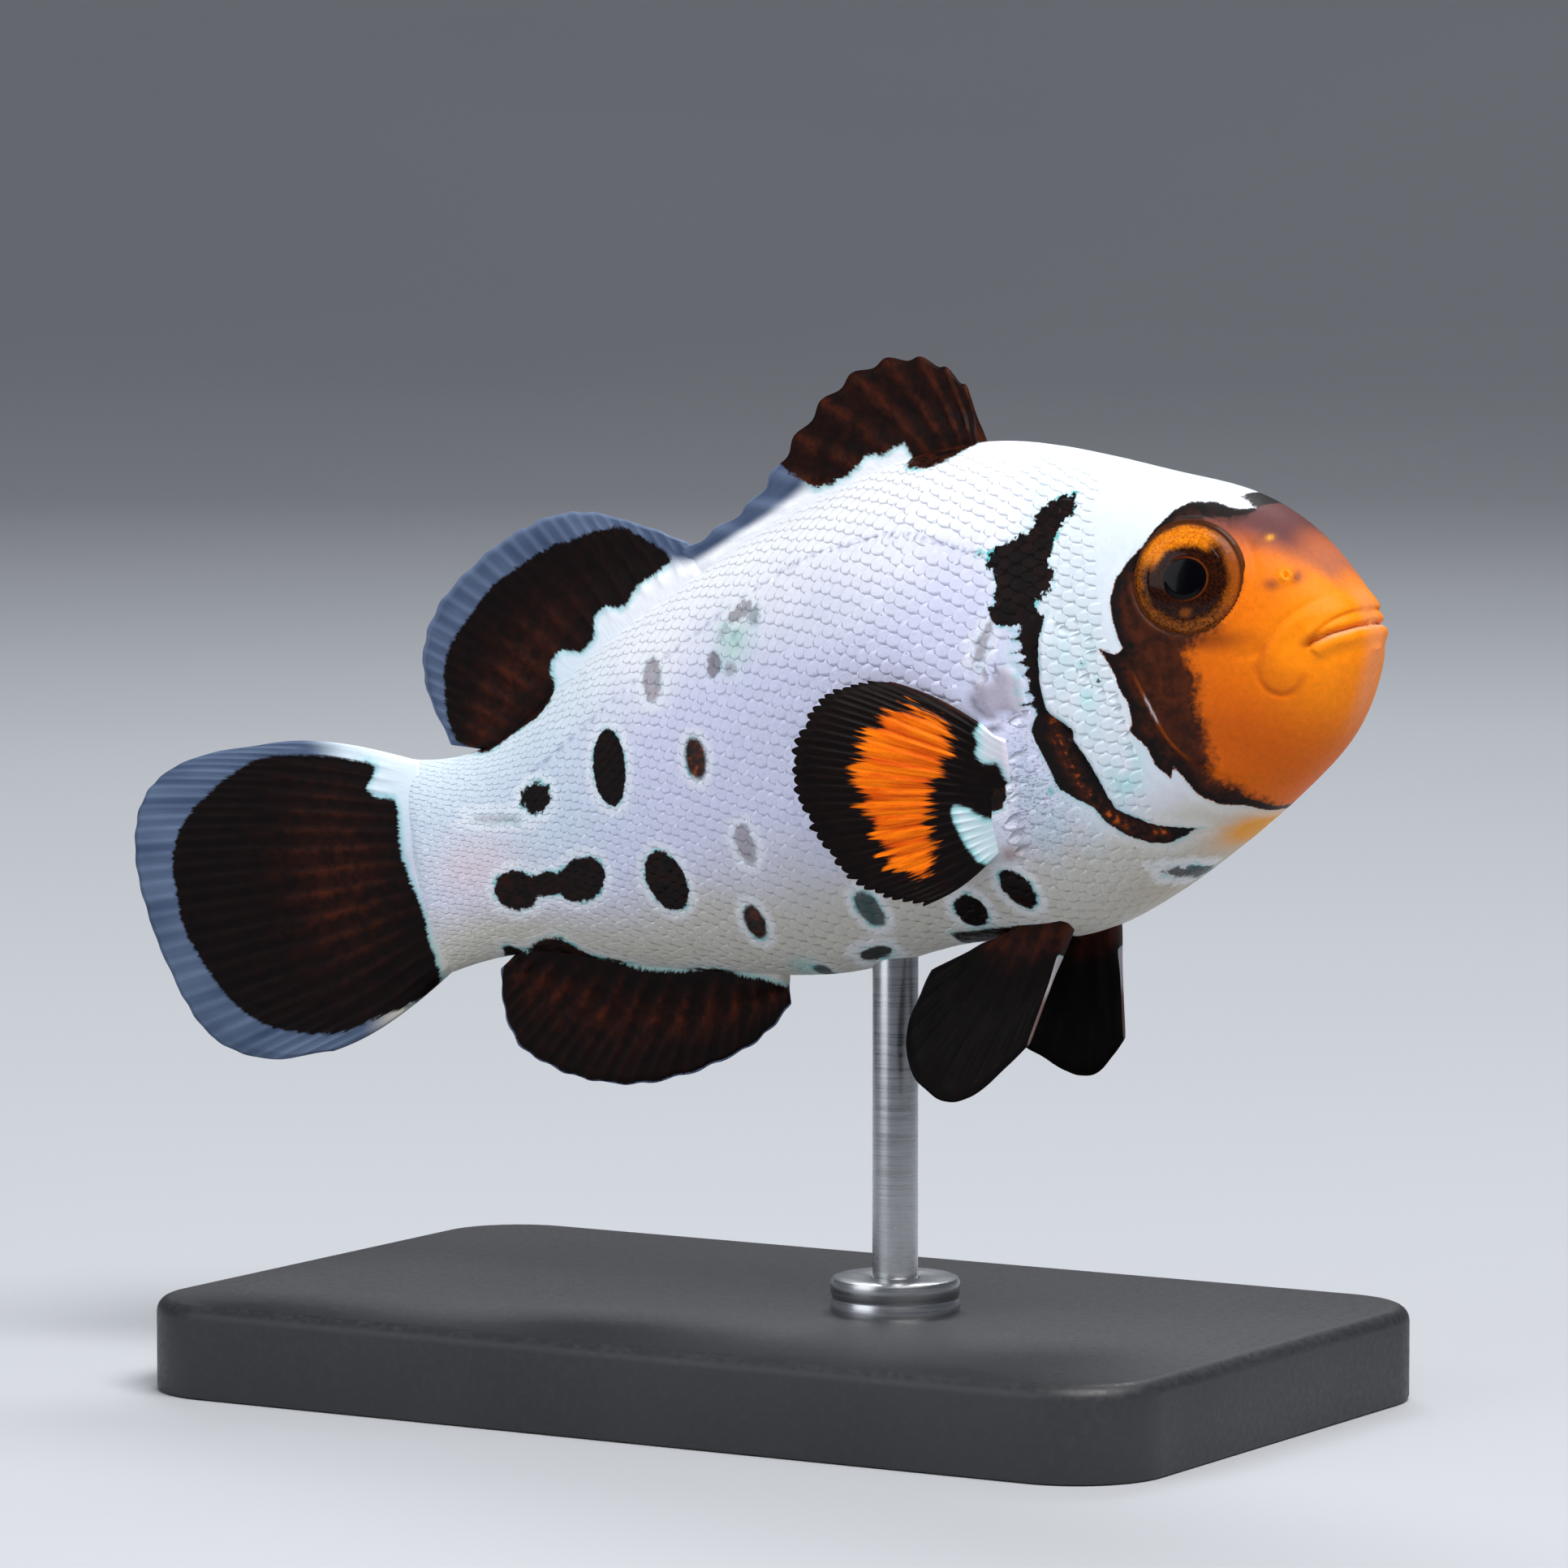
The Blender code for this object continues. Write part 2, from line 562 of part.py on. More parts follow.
def add(name, mesh, parent=None):
    """One finished piece, in metres, with its own material."""
    points, faces = outward(mesh)
    obj = as_object(name, (points * 0.001, faces))
    obj.data.shade_smooth()
    obj.data.set_sharp_from_angle(angle=math.radians(35))
    kind = ("fin" if "fin" in name else "gill_cover" if name.startswith("gill") else
            "eye" if name.startswith("eye") else name if name in COLOURS else "stand")
    metal = kind == "stand"
    obj.data.materials.append(material(name + "_finish", COLOURS[kind], 0.35 if metal else 0.5,
                                       1.0 if metal else 0.0))
    obj.parent = parent
    return obj


def main():
    for obj in list(bpy.data.objects):
        bpy.data.objects.remove(obj)
    fish = build_head()
    fish["trunk"] = loft(stations(TRUNK_START, TRUNK_END, 17), 36, True)
    fish["tail_stalk"] = loft(stations(STALK_START, STALK_END, 9), 32, True)
    fish.update(build_median_fins())
    fish.update(build_paired_fins())
    fish = {name: (bend(points), faces) for name, (points, faces) in fish.items()}

    # the pitched fish stands over the base, its belly over the upright rod
    foot = pitched(bend([(ROD_STATION, 0.0, float(belly_line(ROD_STATION)))]))[0]
    lowest = min(pitched(points)[:, 2].min() for points, _ in fish.values())
    floor = lowest - FOOT_CLEARANCE - BASE_HEIGHT
    shift = np.array([ROD_FORWARD - foot[0], -foot[1], -floor])
    rod_top = foot[2] - floor + ROD_DEPTH
    rod_foot = BASE_HEIGHT - ROD_IN_BASE
    hole = cylinder(ROD_FORWARD, 0, 0.0, rod_top + GAP, ROD_RADIUS + GAP)
    fish["trunk"] = combine(fish["trunk"], [((hole[0] - shift) @ np.array(PITCH), hole[1])])

    carrier = bpy.data.objects.new("fish_pose", None)
    bpy.context.scene.collection.objects.link(carrier)
    carrier.rotation_euler = (0.0, math.radians(-PITCH_DEG), 0.0)
    carrier.location = tuple(float(v) * 0.001 for v in shift)
    for name, mesh in fish.items():
        add(name, mesh, carrier)

    block = rounded_block(BASE_LENGTH, BASE_WIDTH, BASE_HEIGHT, BASE_CORNER, BASE_CHAMFER)
    add("stand_base", combine(block, [cylinder(ROD_FORWARD, 0, rod_foot - GAP, BASE_HEIGHT + 5, ROD_RADIUS + GAP)]))
    add("stand_rod", cylinder(ROD_FORWARD, 0, rod_foot, rod_top, ROD_RADIUS))
    collar = cylinder(ROD_FORWARD, 0, BASE_HEIGHT + GAP, BASE_HEIGHT + GAP + COLLAR_HEIGHT, COLLAR_RADIUS)
    add("stand_collar", combine(collar, [cylinder(ROD_FORWARD, 0, 0.0, 20.0, ROD_RADIUS + GAP)]))


main()
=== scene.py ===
"""Looks of the clownfish display model: one skin over the flesh, scales laid on
it, ribbed fins, built-up eyes, and a plain stand.

The fish is worked out straight, in millimetres: s back from the snout tip, y
to its left, z up.  bend() and posed() then put it in its pose, as the solids
have it.  Markings are named outlines on the side of the fish, turned into
distances that the materials read.
"""
import math

import bmesh
import bpy
import numpy as np
from mathutils import Matrix, Vector

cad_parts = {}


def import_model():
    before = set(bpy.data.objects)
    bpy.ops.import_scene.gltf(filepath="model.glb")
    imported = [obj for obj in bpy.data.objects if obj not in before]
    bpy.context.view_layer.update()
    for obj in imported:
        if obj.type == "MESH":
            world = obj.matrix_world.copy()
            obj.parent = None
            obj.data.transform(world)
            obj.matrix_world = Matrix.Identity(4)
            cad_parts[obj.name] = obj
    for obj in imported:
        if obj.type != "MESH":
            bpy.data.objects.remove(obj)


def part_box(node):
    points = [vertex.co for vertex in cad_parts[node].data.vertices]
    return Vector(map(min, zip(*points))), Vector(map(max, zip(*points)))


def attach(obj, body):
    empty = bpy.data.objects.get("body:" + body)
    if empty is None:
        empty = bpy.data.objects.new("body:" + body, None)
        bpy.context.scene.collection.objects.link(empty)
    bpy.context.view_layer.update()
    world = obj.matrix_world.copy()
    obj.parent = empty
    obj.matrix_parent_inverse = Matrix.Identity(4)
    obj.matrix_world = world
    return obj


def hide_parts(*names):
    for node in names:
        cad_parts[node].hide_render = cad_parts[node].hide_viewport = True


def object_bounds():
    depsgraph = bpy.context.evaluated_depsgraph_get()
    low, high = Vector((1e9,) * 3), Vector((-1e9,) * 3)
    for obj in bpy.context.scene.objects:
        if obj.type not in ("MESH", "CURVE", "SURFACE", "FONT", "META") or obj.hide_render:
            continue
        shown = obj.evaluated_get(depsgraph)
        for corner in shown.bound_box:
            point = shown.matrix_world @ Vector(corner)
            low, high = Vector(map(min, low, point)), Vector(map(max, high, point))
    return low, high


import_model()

CAD_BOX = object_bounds()
RNG = np.random.default_rng(7)

# ================================================================ body shape
GAP = 0.3
STALK_END = 57.6
PITCH_DEG, BEND_DEG, BEND_FROM, BEND_TO = 13.5, 13.0, 24.0, 70.0
EYE_RADIUS, EYE_HALF_DEPTH = 3.15, 1.5
EYE_AT = (7.5, 4.25, 4.8)
EYE_TURN_DEG, EYE_RISE_DEG = 12.0, 8.0
SNOUT_Z = -0.5
SKIN_DEPTH = 0.06             # the skin lies this far inside the solids

BACK = (
    (0.0, -0.5), (0.25, 2.1), (0.8, 3.5), (2.5, 6.2), (6.0, 9.1), (10.0, 10.9), (15.0, 13.1), (20.0, 14.5),
    (27.0, 14.3), (34.0, 12.7), (40.0, 10.7), (48.0, 7.2), (53.5, 4.8), (58.0, 5.3),
)
BELLY = (
    (0.0, -0.5), (0.25, -0.9), (0.9, -2.1), (2.5, -4.3), (6.0, -6.7), (10.0, -8.7), (15.0, -10.7), (20.0, -11.6),
    (27.0, -10.8), (34.0, -11.0), (40.0, -10.0), (48.0, -7.9), (53.5, -6.4), (58.0, -6.7),
)
WIDTH = (
    (0.0, 0.0), (0.25, 1.5), (1.5, 3.0), (2.8, 3.8), (4.5, 4.55), (7.0, 5.3), (11.0, 5.85), (14.0, 6.2),
    (18.0, 6.6), (23.0, 6.8), (30.0, 6.3), (38.0, 5.0), (46.0, 3.4), (53.5, 2.1), (58.0, 1.45),
)
SECTIONS = (
    (0.0, 0.45, 2.1, 2.1), (8.0, 0.52, 2.5, 2.2), (14.0, 0.55, 2.15, 2.1), (24.0, 0.56, 1.85, 2.1),
    (36.0, 0.54, 1.85, 2.0), (58.0, 0.50, 2.0, 2.0),
)
SPINY_FIN = (
    (20.0, 20.4, 17.5), (21.6, 22.2, 19.3), (24.0, 25.4, 19.9), (27.0, 29.0, 18.6), (31.0, 32.3, 16.1),
    (34.6, 35.4, 14.0), (38.0, 38.3, 13.1),
)
SPINY_LEAN = (                # the same edge, each spine rooted further forward
    (20.0, 20.4, 17.5), (20.8, 22.2, 19.3), (22.3, 25.4, 19.9), (24.8, 29.0, 18.6), (28.4, 32.3, 16.1),
    (32.6, 35.4, 14.0), (38.5, 39.3, 12.9),
)
SOFT_FIN = (
    (38.0, 38.7, 13.0), (41.0, 43.4, 15.6), (44.0, 47.8, 15.9), (47.0, 52.8, 13.7), (50.0, 55.6, 10.1),
    (53.2, 54.9, 5.4),
)
ANAL_FIN = (
    (38.0, 38.2, -12.0), (40.2, 41.8, -13.9), (43.4, 47.2, -14.5), (46.6, 51.8, -13.2), (50.0, 54.7, -10.6),
    (53.6, 54.6, -6.9),
)
TAIL_FIN = (
    (5.0, 66.2, 7.9), (3.3, 71.2, 7.4), (1.6, 73.6, 5.1), (-0.4, 74.1, 1.2), (-2.4, 73.4, -3.7),
    (-4.3, 71.2, -8.0), (-6.3, 66.0, -9.7),
)
PECTORAL_ROOT = ((19.1, -0.6), (21.1, -6.6))
PECTORAL_HINGE = (21.8, 6.5, -3.6)
PECTORAL_SPREAD_DEG = {"right": 35.0, "left": 31.0}
PECTORAL_FIN = ((2.4, 6.65), (5.4, 6.85), (7.6, 5.1), (8.4, 2.2), (7.6, -0.9), (5.8, -3.5), (3.0, -4.9))
PELVIC_FIN = {
    "right": ((19.8, 22.6, -16.4), (21.2, 26.3, -18.5), (22.4, 29.0, -17.9), (23.4, 30.1, -15.0), (24.2, 28.3, -11.7)),
    "left": ((19.0, 20.9, -17.1), (20.3, 23.6, -18.7), (21.4, 26.0, -17.4), (22.5, 27.5, -14.9), (23.4, 26.0, -12.1)),
}
PELVIC_ROOT_Y, PELVIC_FLARE = 2.0, 0.30


def spline(x, xs, ys):
    """Natural cubic through the points."""
    xs, ys, x = (np.asarray(v, float) for v in (xs, ys, x))
    n, h = len(xs), np.diff(xs)
    a, r = np.zeros((n, n)), np.zeros(n)
    a[0, 0] = a[-1, -1] = 1.0
    for i in range(1, n - 1):
        a[i, i - 1:i + 2] = h[i - 1], 2 * (h[i - 1] + h[i]), h[i]
        r[i] = 6 * ((ys[i + 1] - ys[i]) / h[i] - (ys[i] - ys[i - 1]) / h[i - 1])
    m = np.linalg.solve(a, r)
    i = np.clip(np.searchsorted(xs, x, side="right") - 1, 0, n - 2)
    u, v = (xs[i + 1] - x) / h[i], (x - xs[i]) / h[i]
    return u * ys[i] + v * ys[i + 1] + ((u ** 3 - u) * m[i] + (v ** 3 - v) * m[i + 1]) * h[i] ** 2 / 6


_B, _L, _W, _S = (np.array(t) for t in (BACK, BELLY, WIDTH, SECTIONS))


def along(table, s):
    """A body line at a station; past the last landmark it keeps its last value's course."""
    s = np.asarray(s, float)
    t = np.clip(s, 0.0, 58.0)
    return spline(np.sqrt(t), np.sqrt(table[:, 0]), table[:, 1])


def back_line(s):
    return along(_B, s)


def belly_line(s):
    return along(_L, s)


def half_width(s):
    return along(_W, s)


def section(s, angle):
    """Section points at station s: angle 0 on the right side, 90 degrees on top."""
    top, bottom, w = back_line(s), belly_line(s), half_width(s)
    mid = bottom + (top - bottom) * np.interp(s, _S[:, 0], _S[:, 1])
    c, n = np.cos(angle), np.sin(angle)
    power = np.where(n >= 0, np.interp(s, _S[:, 0], _S[:, 2]), np.interp(s, _S[:, 0], _S[:, 3]))
    y = -w * np.sign(c) * np.abs(c) ** (2 / power)
    z = mid + np.where(n >= 0, top - mid, mid - bottom) * np.sign(n) * np.abs(n) ** (2 / power)
    return y, z


def side_y(s, z):
    """Half width of the body at a station and height."""
    top, bottom, w = back_line(s), belly_line(s), half_width(s)
    mid = bottom + (top - bottom) * np.interp(s, _S[:, 0], _S[:, 1])
    upper = z >= mid
    q = np.where(upper, (z - mid) / (top - mid), (mid - z) / (mid - bottom))
    power = np.where(upper, np.interp(s, _S[:, 0], _S[:, 2]), np.interp(s, _S[:, 0], _S[:, 3]))
    return w * np.maximum(1 - np.clip(q, 0, 1) ** power, 0) ** (1 / power)


# ---------------------------------------------------------------------- pose
_HS = np.linspace(-10.0, 100.0, 2201)


def heading(s):
    t = np.clip((s - BEND_FROM) / (BEND_TO - BEND_FROM), 0, 1)
    return math.radians(BEND_DEG) * t * t * (3 - 2 * t)


def _run(f):
    d = f(heading(_HS))
    out = np.concatenate([[0.0], np.cumsum((d[1:] + d[:-1]) / 2 * np.diff(_HS))])
    return out - np.interp(0.0, _HS, out)


_BACKWARD, _SIDEWAYS = _run(np.cos), -_run(np.sin)
PITCH = np.array(Matrix.Rotation(math.radians(-PITCH_DEG), 3, "Y"))


def bend(points):
    p = np.asarray(points, float)
    h = heading(p[:, 0])
    back = np.interp(p[:, 0], _HS, _BACKWARD) + p[:, 1] * np.sin(h)
    side = np.interp(p[:, 0], _HS, _SIDEWAYS) + p[:, 1] * np.cos(h)
    return np.stack([-back, side, p[:, 2]], 1)


def posed(points):
    return bend(points) @ PITCH.T


def middle(node):
    low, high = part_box(node)
    return (np.array(low) + np.array(high)) / 2


# the fish hangs where the solids' two eyes are
EYES_MM = (middle("eye_right") + middle("eye_left")) * 500.0
SHIFT = EYES_MM - posed([(EYE_AT[0], 0.0, EYE_AT[2])])[0]


def world(points):
    """Fish millimetres to the frame's metres."""
    return (posed(points) + SHIFT) * 0.001


# ============================================================= small helpers
def smooth(x, low, high):
    t = np.clip((np.asarray(x, float) - low) / (high - low), 0, 1)
    return t * t * (3 - 2 * t)


def bell(x, width):
    return np.exp(-(np.asarray(x, float) / width) ** 2)


def value_noise(points, scale, seed):
    """Smooth repeatable noise, -1..1, at points (n x k)."""
    p = np.asarray(points, float) * scale
    base = np.floor(p).astype(np.int64)
    f = p - base
    f = f * f * (3 - 2 * f)
    k = p.shape[1]
    out = np.zeros(len(p))
    for corner in range(2 ** k):
        bits = [(corner >> j) & 1 for j in range(k)]
        h = np.full(len(p), seed * 374761393, np.int64)
        w = np.ones(len(p))
        for j in range(k):
            h ^= (base[:, j] + bits[j] + 1000) * (668265263, 2147483647 - 12345, 1274126177)[j]
            h = (h ^ (h >> 13)) * 1274126177 & 0x7FFFFFFF
            w *= f[:, j] if bits[j] else 1 - f[:, j]
        h = (h ^ (h >> 16)) * 668265263 & 0x7FFFFFFF
        out += w * (h / 0x7FFFFFFF * 2 - 1)
    return out


def curve(points, count=None):
    """Smooth curve through points, as a function of the share along them."""
    p = np.array(points, float)
    k = np.linspace(0, 1, len(p))

    def at(t):
        t = np.asarray(t, float)
        return np.stack([spline(t, k, p[:, c]) for c in range(p.shape[1])], -1)
    return at


def rounded(outline, per=6):
    """A closed outline with its corners rounded (Catmull-Rom)."""
    p = np.array(outline, float)
    t = np.linspace(0, 1, per, endpoint=False)[:, None]
    out = []
    for i in range(len(p)):
        a, b, c, d = p[i - 1], p[i], p[(i + 1) % len(p)], p[(i + 2) % len(p)]
        out.append(0.5 * (2 * b + (c - a) * t + (2 * a - 5 * b + 4 * c - d) * t ** 2
                          + (3 * b - a - 3 * c + d) * t ** 3))
    return np.concatenate(out)


def to_path(points, path):
    """Distance from each point to a polyline, and the share along it."""
    best = np.full(len(points), 1e9)
    share = np.zeros(len(points))
    n = len(path) - 1
    for i in range(n):
        a, d = path[i], path[i + 1] - path[i]
        rel = points - a
        t = np.clip(rel @ d / max(d @ d, 1e-12), 0, 1)
        gap = np.linalg.norm(rel - t[:, None] * d, axis=1)
        near = gap < best
        best = np.where(near, gap, best)
        share = np.where(near, (i + t) / n, share)
    return best, share


def inside(points, outline, reach=2.5):
    """Signed distance to a closed outline, positive inside; -reach where far off."""
    out = np.full(len(points), -reach)
    low, high = outline.min(0) - reach, outline.max(0) + reach
    pick = np.nonzero(np.all((points > low) & (points < high), axis=1))[0]
    if not len(pick):
        return out
    p = points[pick]
    closed = np.concatenate([outline, outline[:1]])
    gap, _ = to_path(p, closed)
    within = np.zeros(len(p), bool)
    for a, b in zip(closed[:-1], closed[1:]):
        crosses = (a[1] > p[:, 1]) != (b[1] > p[:, 1])
        if abs(b[1] - a[1]) > 1e-12:
            x = a[0] + (p[:, 1] - a[1]) / (b[1] - a[1]) * (b[0] - a[0])
            within ^= crosses & (p[:, 0] < x)
    out[pick] = np.maximum(np.where(within, gap, -gap), -reach)
    return out


def oval(points, centre, radii, tilt_deg=0.0):
    """Signed distance to an oval, roughly, positive inside."""
    a = math.radians(tilt_deg)
    d = points - np.array(centre)
    u = d[:, 0] * math.cos(a) + d[:, 1] * math.sin(a)
    v = -d[:, 0] * math.sin(a) + d[:, 1] * math.cos(a)
    k = np.sqrt((u / radii[0]) ** 2 + (v / radii[1]) ** 2)
    g = np.sqrt((u / radii[0] ** 2) ** 2 + (v / radii[1] ** 2) ** 2)
    return np.clip((1 - k) * k / np.maximum(g, 1e-6), -3, 3)


def linear(*rgb):
    """Colour from 0-255 display values to linear."""
    c = np.array(rgb, float) / 255
    return np.where(c <= 0.04045, c / 12.92, ((c + 0.055) / 1.055) ** 2.4)


# ================================================================ markings
# Outlines on the right side of the fish: station, height.
HOOD_EDGE = (      # where the pale hood meets the face, crown to throat
    (5.5, 12.0), (5.3, 8.6), (4.35, 7.75), (5.2, 7.95), (6.1, 8.5), (7.2, 8.75), (7.9, 8.5), (8.5, 8.0),
    (9.4, 7.0), (10.4, 6.3), (11.1, 5.6), (11.5, 4.6), (11.5, 3.7), (11.4, 2.7), (11.25, 2.05), (11.8, 1.9),
    (12.6, 2.45), (12.3, 1.8), (12.0, 1.0), (11.9, 0.2), (11.6, -0.7), (11.7, -1.6), (12.0, -2.0), (11.65, -2.5),
    (11.3, -3.0), (11.2, -3.9), (10.65, -4.8), (10.3, -4.2), (10.0, -4.9), (9.7, -5.8), (9.0, -6.5), (7.9, -6.9),
    (7.5, -7.3), (6.9, -7.7), (6.6, -9.5),
)
CHEEK_EDGE = (     # where the dark of the cheek fades into the face, throat to crown
    (7.1, -7.0), (7.45, -6.4), (7.6, -5.9), (8.1, -5.5), (8.7, -5.0), (8.2, -4.3), (8.0, -2.8), (8.0, -1.3),
    (7.6, -0.2), (8.1, 1.1), (7.1, 1.8), (6.0, 2.2), (6.0, 5.0), (6.4, 7.6), (5.4, 7.45), (4.5, 7.5), (3.9, 8.4),
    (4.0, 12.0),
)
GILL_EDGE = (      # rear edge of the gill cover, top to throat
    (15.0, 4.8), (15.6, 3.6), (15.9, 2.4), (16.1, 0.9), (16.0, -0.1), (15.7, -0.5), (15.2, -1.0), (14.9, -1.4),
    (15.0, -1.9), (14.7, -2.6), (14.4, -3.7), (14.2, -4.9), (14.0, -5.7), (13.1, -6.4), (12.4, -6.9),
    (11.2, -7.3), (10.3, -7.55), (9.1, -7.7), (8.2, -7.5),
)
BAND_REAR = (      # rear edge of the dark band behind the gill cover, throat to top
    (10.9, -7.6), (11.5, -7.8), (12.3, -7.95), (13.1, -7.75), (14.1, -7.1), (14.8, -6.25), (15.1, -5.4),
    (15.9, -4.75), (16.6, -4.1), (16.8, -2.9), (17.0, -1.8), (17.2, -0.9),
)
BAND_BLAZE = ((15.85, -0.7), (15.85, -1.8), (15.55, -3.2), (15.3, -4.3), (14.7, -5.6), (14.0, -6.5), (13.2, -7.1), (12.3, -7.4))
BAND_TEETH = (3.75, 3.15, 2.5, 1.8, 1.1, 0.35)       # heights of its points
SHOULDER = (
    (13.4, 10.5), (14.6, 10.3), (15.2, 9.8), (15.4, 9.2), (16.2, 8.9), (17.3, 8.6), (17.8, 8.3), (17.9, 7.7),
    (17.5, 6.9), (17.8, 6.0), (18.1, 5.3), (17.8, 4.8), (17.1, 4.4), (16.2, 4.3), (15.5, 4.6), (15.5, 5.4),
    (14.7, 5.9), (14.4, 6.4), (14.6, 7.3), (14.3, 8.2), (13.9, 8.9), (13.2, 9.7),
)
SPINY_DARK = (
    (19.6, 15.4), (20.1, 14.4), (21.0, 13.9), (22.1, 13.7), (23.6, 14.0), (24.1, 14.6), (24.4, 15.3), (25.2, 15.2),
    (25.9, 15.0), (26.8, 15.2), (27.7, 14.6), (28.8, 14.3), (30.2, 14.2), (31.2, 14.9), (32.0, 15.7),
    (33.2, 18.0), (30.0, 24.0), (17.0, 24.0),
)
SOFT_DARK = (
    (42.3, 14.6), (43.8, 14.8), (45.1, 14.65), (46.7, 14.5), (48.6, 13.9), (50.4, 13.2), (51.9, 12.1),
    (53.1, 11.2), (54.0, 10.1), (54.4, 9.0), (54.7, 7.0), (54.3, 5.4), (52.7, 4.6), (51.4, 4.9), (49.8, 5.5),
    (48.7, 5.9), (47.9, 6.8), (47.9, 8.2), (47.3, 8.9), (45.9, 8.7), (45.0, 9.3), (44.8, 10.2), (44.1, 10.7),
    (42.9, 10.5), (41.9, 11.4), (40.5, 11.9), (39.8, 12.4), (40.7, 13.4), (41.7, 14.2),
)
ANAL_DARK = (
    (54.3, -6.6), (52.6, -6.3), (51.4, -5.9), (50.2, -6.0), (49.6, -6.5), (48.6, -7.4), (47.4, -7.8),
    (46.1, -8.5), (44.2, -9.0), (41.7, -9.3), (40.2, -10.0), (38.5, -10.7), (37.8, -11.9), (37.0, -17.0),
    (57.0, -17.0),
)
TAIL_DARK = (
    (59.2, 5.2), (61.8, 6.2), (64.1, 6.75), (66.0, 6.9), (67.5, 6.5), (68.9, 5.8), (70.4, 4.9), (71.5, 3.6),
    (72.0, 2.1), (72.1, 0.5), (72.1, -1.1), (71.7, -2.6), (71.1, -4.1), (70.2, -5.7), (68.7, -7.2), (66.6, -8.1),
    (64.4, -8.5), (62.6, -8.2), (58.3, -7.2), (57.9, -4.4), (57.9, -2.8), (58.2, -1.3), (58.4, 0.3), (58.2, 2.0),
    (58.2, 3.0), (58.7, 3.3), (59.4, 3.5), (59.8, 4.1),
)
PELVIC_LINE = ((26.6, -10.1), (24.6, -10.25), (22.4, -10.45), (20.3, -10.9), (20.3, -12.5), (26.8, -11.2))
# breast fin markings, in its own sheet: outward, up
PECTORAL_GLOW = (
    (2.3, 5.2), (3.7, 4.6), (4.6, 3.2), (5.2, 2.0), (5.15, 0.8), (4.9, -0.3), (4.7, -1.6), (4.0, -2.6),
    (2.9, -3.4), (2.3, -2.9), (2.0, -1.8), (2.0, -0.6), (1.5, 0.8), (0.7, 1.9), (0.2, 2.9), (0.5, 4.2),
)
PECTORAL_PALE = (
    ((-3.4, 4.2), (-1.25, 3.4), (-1.25, 2.6), (-0.95, 2.2), (-1.3, 1.55), (-2.0, 1.4), (-2.2, 0.6), (-2.6, -0.2),
     (-1.9, -1.0), (-1.1, -1.25), (-0.4, -0.75), (0.35, -0.25), (0.75, -0.45), (0.65, -1.3), (0.4, -2.1),
     (0.1, -2.8), (-0.6, -3.5), (-3.8, -4.2)),
)

